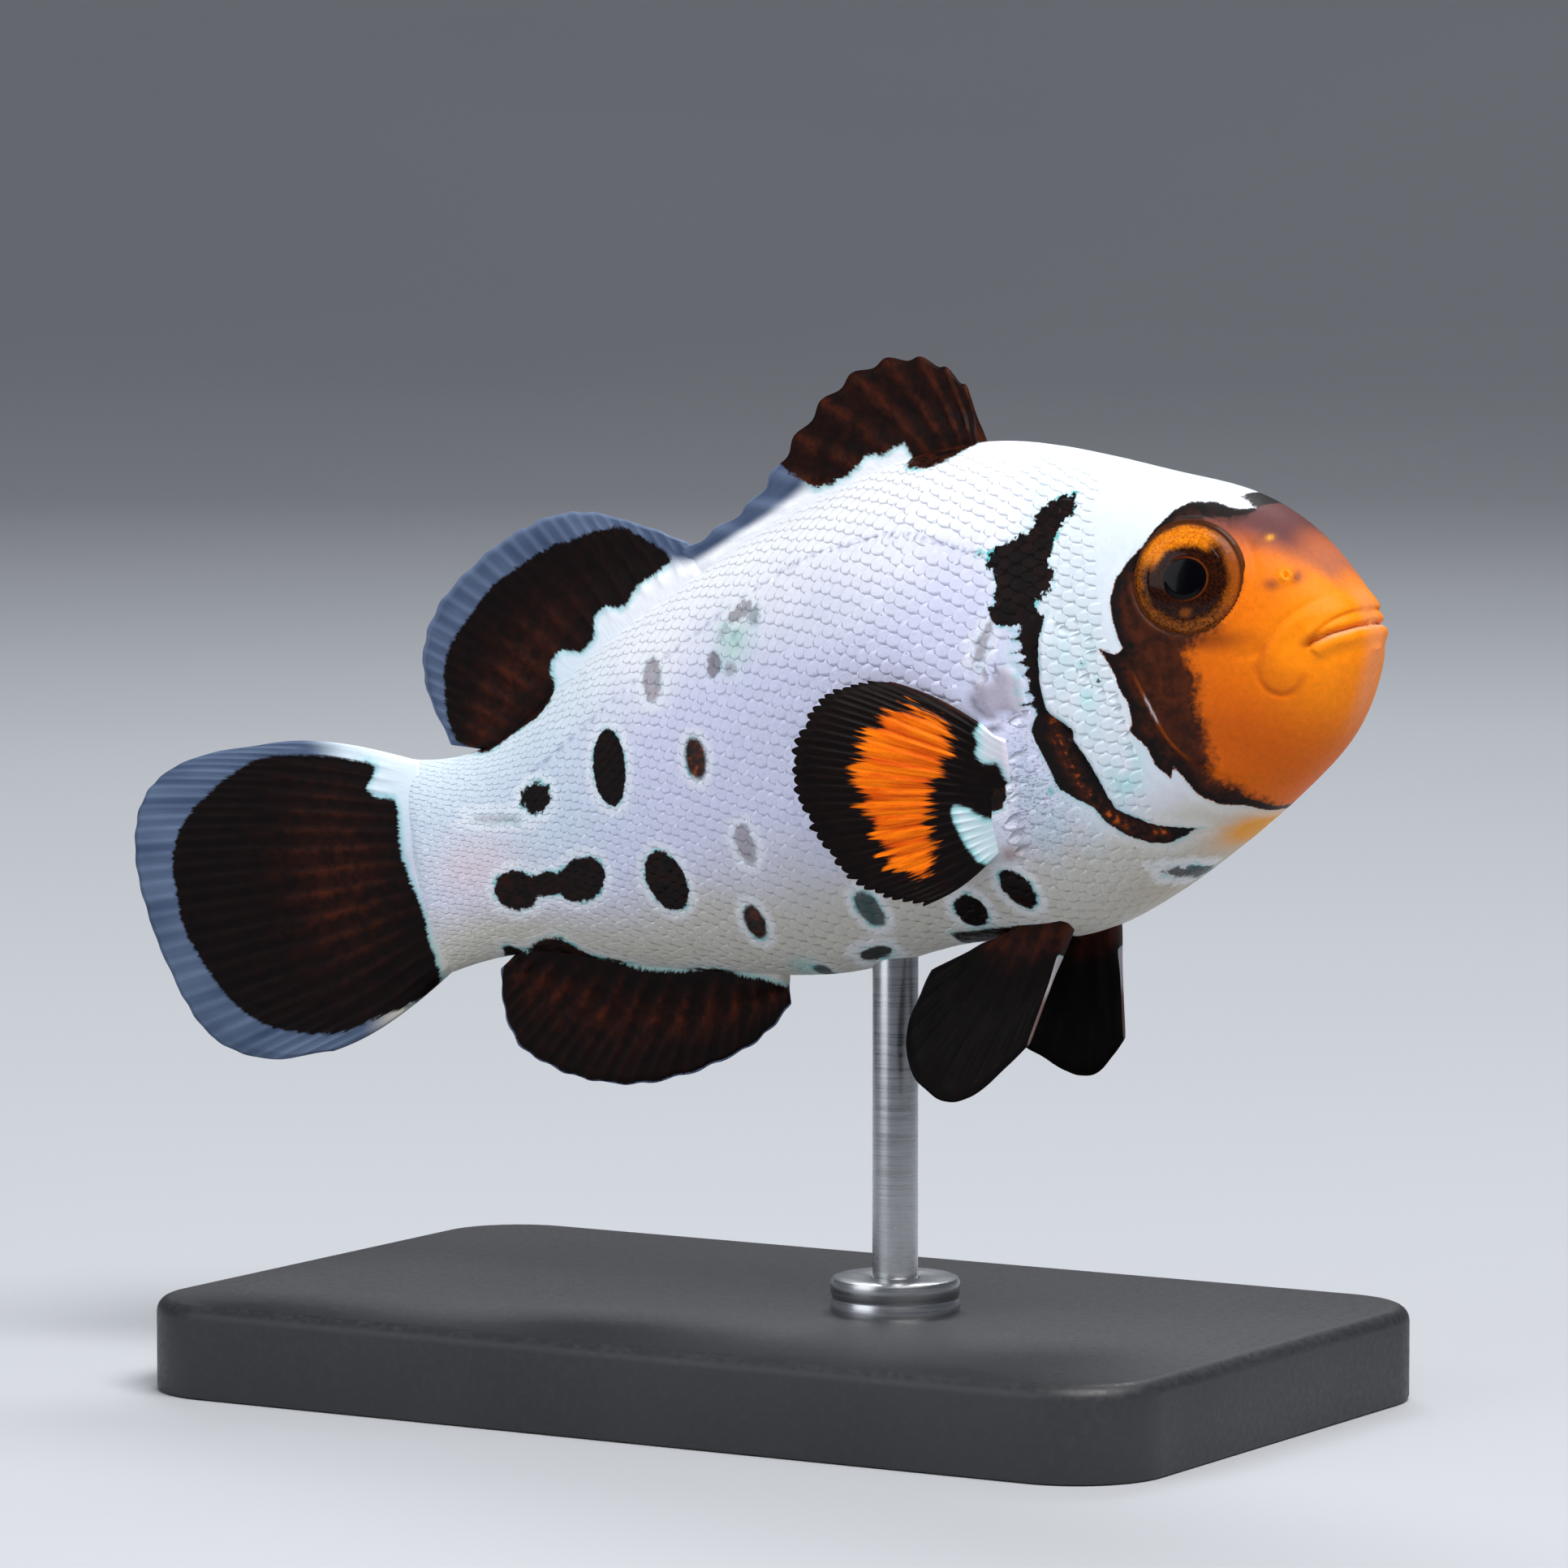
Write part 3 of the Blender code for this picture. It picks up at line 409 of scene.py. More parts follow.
# spots: centre, half sizes, tilt; strength 0..1, rust 0..1, softness mm, raggedness mm
SPOTS = {
    "right": (
        (44.1, 2.2, 1.12, 2.05, 6, 1.0, 0.1, 0.05, 0.10), (40.5, 6.2, 0.66, 1.18, 4, 0.60, 0.5, 0.14, 0.16),
        (38.1, 1.6, 0.72, 1.12, 0, 0.985, 1.25, 0.16, 0.10), (49.3, 1.5, 0.95, 0.88, 0, 1.0, 0.1, 0.10, 0.30),
        (52.0, 0.9, 1.5, 0.22, 12, 0.35, 0.0, 0.20, 0.25),
        (51.8, -3.05, 1.36, 1.08, 6, 1.0, 0.3, 0.07, 0.14), (47.5, -3.25, 1.62, 1.12, -14, 1.0, 0.15, 0.07, 0.14),
        (49.7, -3.1, 1.5, 0.64, 4, 1.0, 0.2, 0.07, 0.16), (42.1, -4.3, 1.3, 1.65, -14, 1.0, 0.2, 0.06, 0.12),
        (36.2, -3.3, 0.64, 1.08, 2, 0.60, 0.3, 0.16, 0.22), (37.4, -7.4, 0.66, 0.95, 4, 0.98, 1.1, 0.12, 0.08),
        (34.0, 8.6, 0.95, 0.42, -16, 0.62, 0.7, 0.14, 0.32), (33.0, 8.2, 0.40, 0.55, 0, 0.50, 0.6, 0.12, 0.30),
        (36.0, 6.2, 0.46, 0.66, 0, 0.72, 0.6, 0.12, 0.22), (34.9, 5.8, 0.40, 0.36, 0, 0.45, 0.2, 0.14, 0.30),
        (35.3, 7.6, 0.26, 0.50, 20, 0.30, 0.0, 0.16, 0.30), (34.3, 7.2, 0.16, 0.40, -30, 0.28, 0.0, 0.12, 0.30),
        (30.1, -8.0, 0.72, 1.0, -10, 0.86, 0.0, 0.12, 0.10), (24.4, -9.2, 0.98, 0.86, -14, 1.0, 0.1, 0.08, 0.12),
        (21.0, -8.6, 0.82, 1.12, -18, 1.0, 0.15, 0.07, 0.14), (31.4, -10.3, 1.0, 0.34, -4, 0.95, 0.2, 0.08, 0.06),
        (35.2, -10.6, 0.48, 0.36, 0, 0.85, 0.2, 0.10, 0.06), (12.4, -9.6, 1.05, 0.30, 12, 0.85, 0.3, 0.12, 0.25),
        (17.1, -4.1, 0.12, 0.10, 0, 0.9, 0.0, 0.04, 0.0), (18.4, 8.5, 0.15, 0.12, 0, 0.8, 0.0, 0.04, 0.0),
        (13.6, 1.9, 0.10, 0.09, 0, 0.8, 0.0, 0.04, 0.0), (12.9, 0.8, 0.20, 0.10, 30, 0.95, 0.0, 0.04, 0.0),
        (18.7, 4.0, 0.30, 1.15, 32, 0.55, 0.0, 0.16, 0.35), (20.05, -3.2, 0.78, 1.25, 10, 1.0, 0.4, 0.05, 0.10),
    ),
    "left": (
        (42.6, 3.4, 1.25, 1.75, -8, 1.0, 0.1, 0.06, 0.12), (46.9, 0.6, 0.85, 1.15, 4, 0.95, 0.3, 0.08, 0.14),
        (38.4, 5.7, 0.62, 0.95, 0, 0.6, 0.5, 0.16, 0.16), (36.6, 0.2, 0.95, 1.35, 10, 1.0, 0.2, 0.06, 0.12),
        (50.9, 1.9, 0.75, 0.70, 0, 1.0, 0.1, 0.08, 0.20), (51.4, -2.9, 1.55, 1.0, 8, 1.0, 0.2, 0.06, 0.14),
        (44.2, -4.7, 1.75, 0.95, -6, 1.0, 0.1, 0.06, 0.14), (40.4, -3.1, 0.70, 0.90, 0, 0.98, 1.2, 0.18, 0.10),
        (33.0, -4.3, 0.66, 1.05, 4, 0.6, 0.3, 0.16, 0.20), (38.2, -7.8, 0.85, 0.80, 0, 0.95, 0.3, 0.10, 0.10),
        (32.4, 8.1, 0.95, 0.60, -18, 0.55, 0.5, 0.14, 0.30), (29.0, -8.6, 0.90, 0.75, 8, 0.95, 0.1, 0.10, 0.10),
        (24.8, -9.0, 0.75, 0.95, 10, 1.0, 0.1, 0.08, 0.12), (33.6, -10.2, 0.80, 0.34, -4, 0.9, 0.2, 0.08, 0.06),
        (12.9, -9.4, 0.90, 0.30, 12, 0.85, 0.3, 0.12, 0.25), (28.6, 9.8, 0.30, 0.24, 0, 0.6, 0.2, 0.08, 0.10),
        (13.2, 1.4, 0.16, 0.10, 20, 0.9, 0.0, 0.04, 0.0), (18.9, 3.6, 0.28, 0.95, 28, 0.5, 0.0, 0.16, 0.35),
    ),
}
LATERAL = (
    (18.2, 8.4), (20.3, 9.35), (22.5, 10.3), (24.4, 10.65), (26.6, 10.6), (29.0, 10.55), (31.2, 10.1), (34.7, 9.0),
    (37.6, 7.9), (40.6, 6.8), (43.6, 5.5), (46.6, 4.1), (50.2, 2.5),
)

# creases of the head, station and height on the right side
MOUTH = ((2.3, 0.12), (2.0, 0.38), (1.6, 0.52), (1.1, 0.67), (0.55, 0.74), (0.22, 0.8))
LIP_FOLD = ((2.3, 0.32), (1.9, 0.8), (1.5, 1.1), (1.1, 1.32), (0.7, 1.5), (0.34, 1.6))
SUBORBITAL = ((1.0, 2.62), (1.8, 2.4), (2.4, 2.1), (3.1, 1.68), (3.6, 1.2), (4.05, 0.75), (4.6, 0.45), (5.3, 0.4), (6.1, 0.5))
JAW_FOLD = ((4.1, 0.65), (4.45, 0.15), (4.7, -0.4), (4.68, -1.1), (4.35, -1.62), (3.8, -1.9), (3.25, -1.72), (2.7, -1.15))
LIP_CORNER = ((2.3, 0.1), (2.52, -0.3), (2.66, -0.7), (2.6, -1.1))
PREOPERCLE = ((11.25, 2.2), (11.0, 0.8), (10.7, -0.4), (10.4, -1.7), (10.05, -2.9), (9.4, -4.0), (8.5, -4.9), (7.3, -5.5))
GILL_MEMBRANE = (
    (19.6, 2.2), (19.75, 1.7), (19.75, 1.1), (19.4, 0.62), (18.9, 0.3), (18.2, 0.28), (17.6, 0.05), (17.15, 0.4),
    (17.05, 1.2), (17.1, 1.9), (17.6, 2.35), (18.2, 2.45), (18.5, 1.95), (19.1, 2.15),
)
CHIN_FOLD = ((1.9, -0.75), (1.25, -0.55), (0.7, -0.45), (0.3, -0.4))
NOSTRIL = (2.7, 4.0)
PORES = ((3.5, 6.1), (3.2, 3.75), (2.35, 3.75), (4.3, 1.6), (5.6, -1.4), (6.9, -3.4), (8.6, -5.4), (9.5, -3.85))


def band_outline(side):
    rear = list(BAND_REAR)
    for k, z in enumerate(sorted(BAND_TEETH)):
        reach = 0.08 * math.sin(2.3 * k + (0 if side == "right" else 1.4))
        rear += [(16.45, z - 0.30), (16.8, z - 0.10), (17.35 + reach, z + 0.02), (17.3 + reach, z + 0.09), (16.75, z + 0.14)]
    rear += [(16.5, 4.1), (16.4, 4.5)]
    front = [p for p in GILL_EDGE if p[0] > 10.0]
    return np.array(front + rear)


def warped(q, side):
    """The left side is no mirror image: its markings are pushed about, but not at the middle."""
    if side == "right":
        return q
    w = np.stack([value_noise(q, 0.22, 5), value_noise(q + 40.0, 0.22, 6)], 1)
    w2 = np.stack([value_noise(q, 0.8, 8), value_noise(q + 40.0, 0.8, 9)], 1)
    return q + 0.55 * w + 0.14 * w2


def marks(rest):
    """Everything the materials read about the skin's colours, at straight-layout points."""
    n = len(rest)
    out = {"ink": np.full(n, -3.0), "strength": np.ones(n), "rust": np.full(n, 0.1), "soft": np.full(n, 0.05),
           "rag": np.full(n, 0.08), "face": np.full(n, -3.0), "fringe": np.full(n, 1.0), "halo": np.full(n, 0.3)}

    def stamp(pick, distance, strength=1.0, rust=0.1, soft=0.05, rag=0.08, fringe=1.0, halo=0.35):
        better = distance > out["ink"][pick]
        where = pick[better]
        out["ink"][where] = distance[better]
        for name, value in (("strength", strength), ("rust", rust), ("soft", soft), ("rag", rag), ("fringe", fringe),
                            ("halo", halo)):
            out[name][where] = value

    for side, sign in (("right", -1), ("left", 1)):
        pick = np.nonzero(rest[:, 1] * sign >= 0)[0] if side == "left" else np.nonzero(rest[:, 1] < 0)[0]
        if not len(pick):
            continue
        y = np.abs(rest[pick, 1])
        q = rest[pick][:, [0, 2]]
        free = smooth(y, 0.0, 2.0)[:, None]
        qs = q + (warped(q, side) - q) * free
        hood = np.array(list(HOOD_EDGE) + [(-6.0, -9.5), (-6.0, 12.0)])
        face = inside(qs, hood, 3.0)
        ahead = qs[:, 0] < 4.0
        face = np.where(ahead, np.maximum(face, 1.5), face)
        out["face"][pick] = face
        cheek = rounded(list(HOOD_EDGE) + list(CHEEK_EDGE), 3)
        cheek_in = inside(qs, np.array(list(HOOD_EDGE) + list(CHEEK_EDGE)), 3.0)
        stamp(pick, cheek_in, rag=0.06)
        in_face = smooth(face, 0.15, 0.7)
        near = out["ink"][pick] > -2.9
        out["soft"][pick] = np.where(near, 0.05 + 0.42 * in_face, out["soft"][pick])
        out["rag"][pick] = np.where(near, 0.06 + 0.30 * in_face, out["rag"][pick])
        out["rust"][pick] = np.where(near, 0.10 + 0.70 * in_face, out["rust"][pick])
        out["fringe"][pick] = np.where(near & (face > 0), 0.0, 0.20)
        out["strength"][pick] = np.where(near, 1 - 0.035 * smooth(face, 0.3, 1.5), 1.0)
        # the fold of the cheek plate catches orange through the dark, with one pale streak
        flank = np.stack([rest[pick, 0], -y, rest[pick, 2]], 1)
        fold, share = to_path(flank, side_path(PREOPERCLE, 60))
        line = bell(fold - 0.03, 0.07) * smooth(share, 0.1, 0.25) * smooth(share, 0.78, 0.6)
        streak = bell(fold, 0.06) * smooth(share, 0.28, 0.33) * smooth(share, 0.46, 0.42)
        out["strength"][pick] *= 1 - np.clip(0.45 * line + 0.9 * streak, 0, 1)
        stamp(pick, inside(qs, band_outline(side)), rag=0.05, soft=0.04, fringe=0.55)
        middle_line = curve(BAND_BLAZE)(np.linspace(0, 1, 40))
        fold, share = to_path(qs, middle_line)
        flame = bell(fold, 0.40) * (0.30 + 0.70 * (0.5 + 0.5 * np.sin(2 * math.pi * (share * 15 + 1.3 * fold))) ** 0.8)
        out["rust"][pick] = np.where(fold < 1.0, np.maximum(out["rust"][pick], 1.9 * flame), out["rust"][pick])
        blotch = rounded(SHOULDER, 4)
        if side == "left":
            blotch = (blotch - [16.0, 7.3]) * [1.15, 0.85] + [16.3, 6.9]
        stamp(pick, inside(qs, blotch), rag=0.30, soft=0.05, rust=0.15, fringe=1.4)
        for name, outline, rag, rust in (("spiny", SPINY_DARK, 0.12, 0.7), ("soft", SOFT_DARK, 0.10, 0.3),
                                         ("anal", ANAL_DARK, 0.12, 0.3), ("tail", TAIL_DARK, 0.08, 0.25)):
            stamp(pick, inside(q, rounded(outline, 4)), rag=rag, soft=0.07, rust=rust, fringe=0.9)
        stamp(pick, inside(q, np.array(PELVIC_LINE)), rag=0.05, soft=0.08, fringe=0.6)
        for s, z, a, b, tilt, strength, rust, soft, rag in SPOTS[side]:
            close = pick[(np.abs(rest[pick, 0] - s) < a + b + 2) & (np.abs(rest[pick, 2] - z) < a + b + 2)]
            if len(close):
                stamp(close, oval(rest[close][:, [0, 2]], (s, z), (a, b), tilt), strength, rust, soft, rag,
                          0.8 if strength > 0.75 else 0.3, 1.0 if a + b > 1.2 else 0.3)
    return out


def blob(q, centre, radii, tilt_deg=0.0):
    """1 at the centre, falling softly to 0."""
    a = math.radians(tilt_deg)
    d = q - np.array(centre)
    u = (d[:, 0] * math.cos(a) + d[:, 1] * math.sin(a)) / radii[0]
    v = (-d[:, 0] * math.sin(a) + d[:, 1] * math.cos(a)) / radii[1]
    return np.exp(-(u * u + v * v))


def layered(base, layers):
    colour = np.tile(base, (len(layers[0][1]), 1)).astype(float)
    for tone, amount in layers:
        amount = np.clip(amount, 0, 1)[:, None]
        colour = colour * (1 - amount) + np.array(tone) * amount
    return colour


def pale_colour(rest):
    """White of the hood, flank, back and belly, with painted light along the back and painted shade towards the belly,
    behind the gill membrane and over the breast fin's root.
    """
    s, y, z = rest.T
    q = rest[:, [0, 2]]
    top, bottom = back_line(s), belly_line(s)
    h = (z - bottom) / (top - bottom)
    n = value_noise(rest, 0.35, 11)
    m = np.clip(0.55 + 0.9 * value_noise(rest, 1.1, 14), 0, 1)
    lobe = inside(q, rounded(GILL_MEMBRANE, 4), 3.0) + 0.06 * value_noise(rest, 2.4, 33)
    gap, share = to_path(q, curve(LATERAL)(np.linspace(0, 1, 80)))
    dashes = bell(gap, 0.13) * smooth(np.cos(2 * math.pi * 46 * share) + value_noise(rest, 0.7, 15), -0.6, 0.7)
    return layered(linear(218, 221, 247), [
        # lighter towards the back: partly the paler back, partly painted light from above
        (linear(245, 248, 255), smooth(h + 0.06 * n, 0.64, 0.92)),
        (linear(204, 224, 238), 0.75 * smooth(s, 40, 50) * smooth(h, 0.15, 0.5)),
        (linear(232, 212, 222), 0.75 * blob(q, (54.0, -1.5), (3.0, 2.0))),
        # greyer and warmer towards the belly: the fish's own countershading, and painted shade
        (linear(204, 200, 190), smooth(0.36 - h + 0.06 * n, 0.0, 0.26)),
        (linear(222, 232, 242), smooth(s, 17.0, 15.2) * smooth(h, 0.1, 0.3)),
        (linear(196, 220, 232), 0.8 * m * blob(q, (17.6, -4.6), (2.6, 3.0), 60)),
        (linear(160, 226, 226), 0.75 * m * blob(q, (13.9, 1.4), (1.0, 2.4), 8)),
        (linear(166, 224, 228), 0.65 * m * blob(q, (12.9, -4.3), (0.9, 2.0), 30)),
        (linear(170, 226, 228), 0.6 * m * blob(q, (17.6, 2.9), (0.9, 0.9))),
        (linear(176, 168, 184), 0.85 * smooth(lobe, -0.06, 0.06)),
        # painted shadow just outside the gill membrane's lower rear edge
        (linear(112, 102, 120), 0.80 * smooth(lobe, -0.65, -0.10) * smooth(lobe, 0.02, -0.06) * smooth(q[:, 1], 1.9, 1.2) * smooth(q[:, 0], 18.2, 19.2)),
        # painted crescent shadow over the bulge at the top of the breast fin's root
        (linear(60, 52, 68), 0.95 * blob(q, (18.7, -0.30), (0.9, 0.13), -8)),
        (linear(240, 158, 34), 1.5 * blob(q, (8.4, -8.3), (1.8, 0.75), -12)),
        (linear(190, 176, 150), 0.7 * blob(q, (12.5, -9.9), (3.5, 1.0), -10)),
        (linear(178, 216, 208), 0.9 * blob(q, (34.5, 7.2), (1.2, 1.4), 20)),
        (linear(150, 196, 190), 0.8 * blob(q, (36.0, -10.3), (0.9, 0.6))),
        (linear(124, 72, 60), 0.7 * blob(q, (20.4, -6.7), (0.45, 0.45))),
        (linear(150, 158, 190), 0.75 * dashes),
    ])


def warm_colour(rest):
    """The face, from the snout back to the hood, with painted shade on the upper lip and in the jaw fold, and painted
    light on the snout's rim and the lower lip.
    """
    s, y, z = rest.T
    q = rest[:, [0, 2]]
    flank = np.stack([s, -np.abs(y), z], 1)
    near = s < 12.5
    top = back_line(s)
    n = value_noise(rest, 0.9, 12)
    depth = top - z
    crown = smooth(depth / (0.36 * s + 0.35) + 0.14 * n, 1.5, 0.40) * smooth(s, 0.3, 1.3)
    far = np.full(len(rest), 9.0)
    lip, plate, share, under = far.copy(), far.copy(), np.zeros(len(rest)), far.copy()
    lip[near] = to_path(flank[near], side_path(MOUTH, to_middle=True))[0]
    under[near] = to_path(flank[near], side_path(JAW_FOLD, 40))[0]
    plate[near], share[near] = to_path(flank[near], side_path(PREOPERCLE, 60))
    m = np.array(MOUTH)[::-1]
    below = z < np.interp(s, m[:, 0], m[:, 1]) + 0.02
    snout = smooth(np.abs(y), 1.5, 0.3) * smooth(s, 3.2, 1.0)
    streak = bell(plate, 0.09) * smooth(share, 0.27, 0.33) * smooth(share, 0.47, 0.42)
    return layered(linear(222, 104, 4), [
        (linear(250, 138, 2), 1.10 * blob(q, (1.3, 1.2), (3.5, 4.4), 12)),
        (linear(248, 134, 3), 0.70 * blob(q, (1.3, -2.4), (2.0, 1.8))),
        (linear(232, 112, 3), 0.6 * blob(q, (4.6, 2.6), (2.2, 1.4), -10)),
        (linear(204, 88, 3), 0.85 * blob(q, (6.4, -3.6), (2.6, 3.2), -20)),
        # painted shade in the crease of the jaw fold
        (linear(206, 96, 3), 0.6 * bell(under, 0.22)),
        # painted shade on the upper lip, under the fold of the snout's skin
        (linear(186, 92, 6), 0.75 * blob(q, (1.95, 0.62), (0.5, 0.26), -35)),
        (linear(196, 88, 10), 0.55 * smooth(depth + 0.3 * n, 2.6, 1.0) * smooth(s, 1.4, 4.0)),
        (linear(88, 54, 58), 0.96 * crown * smooth(s, 1.0, 3.0)),
        (linear(152, 94, 84), 0.8 * crown * smooth(s, 3.0, 1.0)),
        # pale rim on the front of the snout: partly the skin's own tint, partly painted light shining through
        (linear(228, 150, 116), 0.36 * snout * smooth(z, 3.6, 2.2)),
        # pale edge of the lower lip: its own pale pink, and a painted highlight
        (linear(238, 172, 130), 0.80 * smooth(lip, 0.30, 0.10) * below * smooth(s, 2.2, 0.9)),
        (linear(118, 58, 34), 0.75 * blob(q, (3.32, 3.70), (0.42, 0.30), 20)),
        (linear(118, 58, 40), 0.85 * blob(q, (2.26, 3.84), (0.26, 0.32))),
        (linear(255, 152, 6), 1.2 * blob(q, (2.7, 4.0), (0.24, 0.22))),
        (linear(134, 64, 30), 0.55 * blob(q, (3.9, 6.0), (0.3, 0.3))),
        (linear(96, 36, 8), 0.7 * blob(q, (6.6, 1.55), (2.0, 0.5), 10)),
        (linear(255, 178, 30), 0.9 * blob(q, (3.45, 6.1), (0.13, 0.13))),
        (linear(255, 150, 20), 0.9 * blob(q, (9.35, -3.72), (0.16, 0.16))),
        (linear(232, 238, 246), 1.3 * streak),
    ])


# ================================================================== meshes
def new_object(name, points, faces, smooth_faces=True):
    data = bpy.data.meshes.new(name)
    faces = np.asarray(faces, np.int32)
    if faces.ndim == 2:
        k = faces.shape[1]
        data.vertices.add(len(points))
        data.vertices.foreach_set("co", np.asarray(points, np.float32).ravel())
        data.loops.add(faces.size)
        data.loops.foreach_set("vertex_index", faces.ravel())
        data.polygons.add(len(faces))
        data.polygons.foreach_set("loop_start", np.arange(0, faces.size, k, dtype=np.int32))
        data.polygons.foreach_set("loop_total", np.full(len(faces), k, np.int32))
    if smooth_faces:
        data.polygons.foreach_set("use_smooth", np.ones(len(data.polygons), bool))
    data.update(calc_edges=True)
    data.validate()
    obj = bpy.data.objects.new(name, data)
    bpy.context.scene.collection.objects.link(obj)
    return obj


def give(obj, name, values):
    """A per-point attribute: numbers, vectors or colours."""
    values = np.asarray(values, np.float32)
    kind = {1: "FLOAT", 3: "FLOAT_VECTOR", 4: "FLOAT_COLOR"}[1 if values.ndim == 1 else values.shape[1]]
    layer = obj.data.attributes.new(name, kind, "POINT")
    field = {"FLOAT": "value", "FLOAT_VECTOR": "vector", "FLOAT_COLOR": "color"}[kind]
    layer.data.foreach_set(field, values.ravel())


def give_colour(obj, name, rgb):
    give(obj, name, np.concatenate([rgb, np.ones((len(rgb), 1))], 1))


def give_uv(obj, per_loop):
    layer = obj.data.uv_layers.new(name="OFBake")
    layer.data.foreach_set("uv", np.asarray(per_loop, np.float32).ravel())


def loop_vertices(obj):
    out = np.zeros(len(obj.data.loops), np.int32)
    obj.data.loops.foreach_get("vertex_index", out)
    return out


def triangles(faces):
    f = np.asarray(faces)
    return np.concatenate([f[:, [0, 1, 2]], f[:, [0, 2, 3]]])


def normals(points, tris):
    n = np.cross(points[tris[:, 1]] - points[tris[:, 0]], points[tris[:, 2]] - points[tris[:, 0]])
    out = np.zeros_like(points)
    for k in range(3):
        for c in range(3):
            out[:, c] += np.bincount(tris[:, k], n[:, c], len(points))
    return out / np.maximum(np.linalg.norm(out, axis=1, keepdims=True), 1e-12)


# ------------------------------------------------------------------ the eyes
def eye_axes(sign):
    """Outward, forward and up directions of an eye, in the straight layout."""
    turn = Matrix.Rotation(math.radians(sign * EYE_TURN_DEG), 3, "Z")
    roll = Matrix.Rotation(math.radians(sign * EYE_RISE_DEG), 3, "X")
    m = np.array(turn @ roll)
    return m @ np.array([0.0, sign, 0.0]), m @ np.array([-1.0, 0.0, 0.0]), m @ np.array([0.0, 0.0, 1.0])


def eye_frame(points, sign):
    """Height over the eye's middle plane, and place in it (forward, up)."""
    out, ahead, up = eye_axes(sign)
    rel = points - np.array([EYE_AT[0], sign * EYE_AT[1], EYE_AT[2]])
    return rel @ out, rel @ ahead, rel @ up


ORBIT = 2.86                  # radius of the opening in the skin
PUPIL = 1.04                  # half height of the pupil, which is a little longer than high
PUPIL_LONG = 1.16
IRIS = 2.02


def eye_height(r):
    """Profile of the eye's outer face: a low dome with faint steps."""
    h = 0.52 + 0.66 * (1 - np.minimum(r / 2.9, 1.06) ** 2.3)
    h = h + 0.035 * smooth(r, PUPIL + 0.10, PUPIL - 0.16)
    h = h - 0.018 * bell(r - IRIS - 0.05, 0.10)
    h = h + 0.022 * bell(r - 2.40, 0.22)
    h = h - 0.05 * bell(r - 2.76, 0.08)
    return h


def build_eye(side):
    sign = -1 if side == "right" else 1
    rings, around = 96, 168
    r = np.concatenate([np.linspace(0, 1, rings)[1:] ** 0.92 * 3.06, [3.02, 2.2, 0.9]])
    depth = np.concatenate([eye_height(r[:rings - 1]), [-0.4, -0.8, -0.9]])
    a = np.linspace(0, 2 * math.pi, around, endpoint=False)
    f = np.outer(r, np.cos(a)).ravel()
    u = np.outer(r, np.sin(a)).ravel()
    h = np.repeat(depth, around)
    wrinkle = value_noise(np.stack([f, u], 1), 3.2, 21) * 0.012 * smooth(np.hypot(f, u), IRIS, 2.3)
    h = h + wrinkle * (h > 0)
    f, u, h = (np.append(v, [0.0, 0.0]) for v in (f, u, h))
    h[-2], h[-1] = eye_height(np.zeros(1))[0], -0.9
    out, ahead, up = eye_axes(sign)
    centre = np.array([EYE_AT[0], sign * EYE_AT[1], EYE_AT[2]])
    p = centre + h[:, None] * out + f[:, None] * ahead + u[:, None] * up
    n = len(r)
    faces = []
    i = np.arange(around)
    j = (i + 1) % around
    for k in range(n - 1):
        faces.append(np.stack([k * around + i, (k + 1) * around + i, (k + 1) * around + j, k * around + j], 1))
    quads = triangles(np.concatenate(faces))
    top, bottom = n * around, n * around + 1
    cap = np.stack([np.full(around, top), i, j], 1)
    cap2 = np.stack([np.full(around, bottom), (n - 1) * around + j, (n - 1) * around + i], 1)
    tris = np.concatenate([quads, cap, cap2])
    if sign > 0:
        tris = tris[:, ::-1]
    w = world(p)
    volume = np.einsum("ij,ij->i", w[tris[:, 0]] - w.mean(0), np.cross(w[tris[:, 1]] - w.mean(0), w[tris[:, 2]] - w.mean(0))).sum()
    if volume < 0:
        tris = tris[:, ::-1]
    obj = new_object("eyeball_" + side, w, tris)
    give(obj, "eye", np.stack([f, u, h], 1))
    return obj


# ------------------------------------------------------------------ the skin
AROUND = 304


def skin_stations():
    a = np.linspace(0, 1, 62)[1:] ** 2 * 3.6
    b = np.linspace(3.6, 18.4, 112)[1:]
    c = np.linspace(18.4, 59.4, 138)[1:]
    return np.concatenate([a, b, c])


def side_path(points, count=48, to_middle=False):
    """A crease drawn on the side, laid on the right flank, in three dimensions."""
    q = curve(points)(np.linspace(0, 1, count))
    q[:, 0] = np.maximum(q[:, 0], 0.02)
    y = -side_y(q[:, 0], q[:, 1])
    path = np.stack([q[:, 0], y, q[:, 1]], 1)
    if to_middle:
        # round the front of the snout, along the section that holds this height
        s, _, z = path[-1]
        edge = back_line if z > SNOUT_Z else belly_line
        near = np.linspace(0.001, s, 60)
        s_mid = np.interp(z, np.sort(edge(near)), near[np.argsort(edge(near))])
        k = np.linspace(0, 1, 14)[1:]
        across = s_mid + (s - s_mid) * (1 - k) ** 2
        path = np.concatenate([path, np.stack([across, -side_y(across, np.full_like(across, z)), np.full_like(across, z)], 1)])
        path[-1] = (s_mid, 0.0, z)
    return path


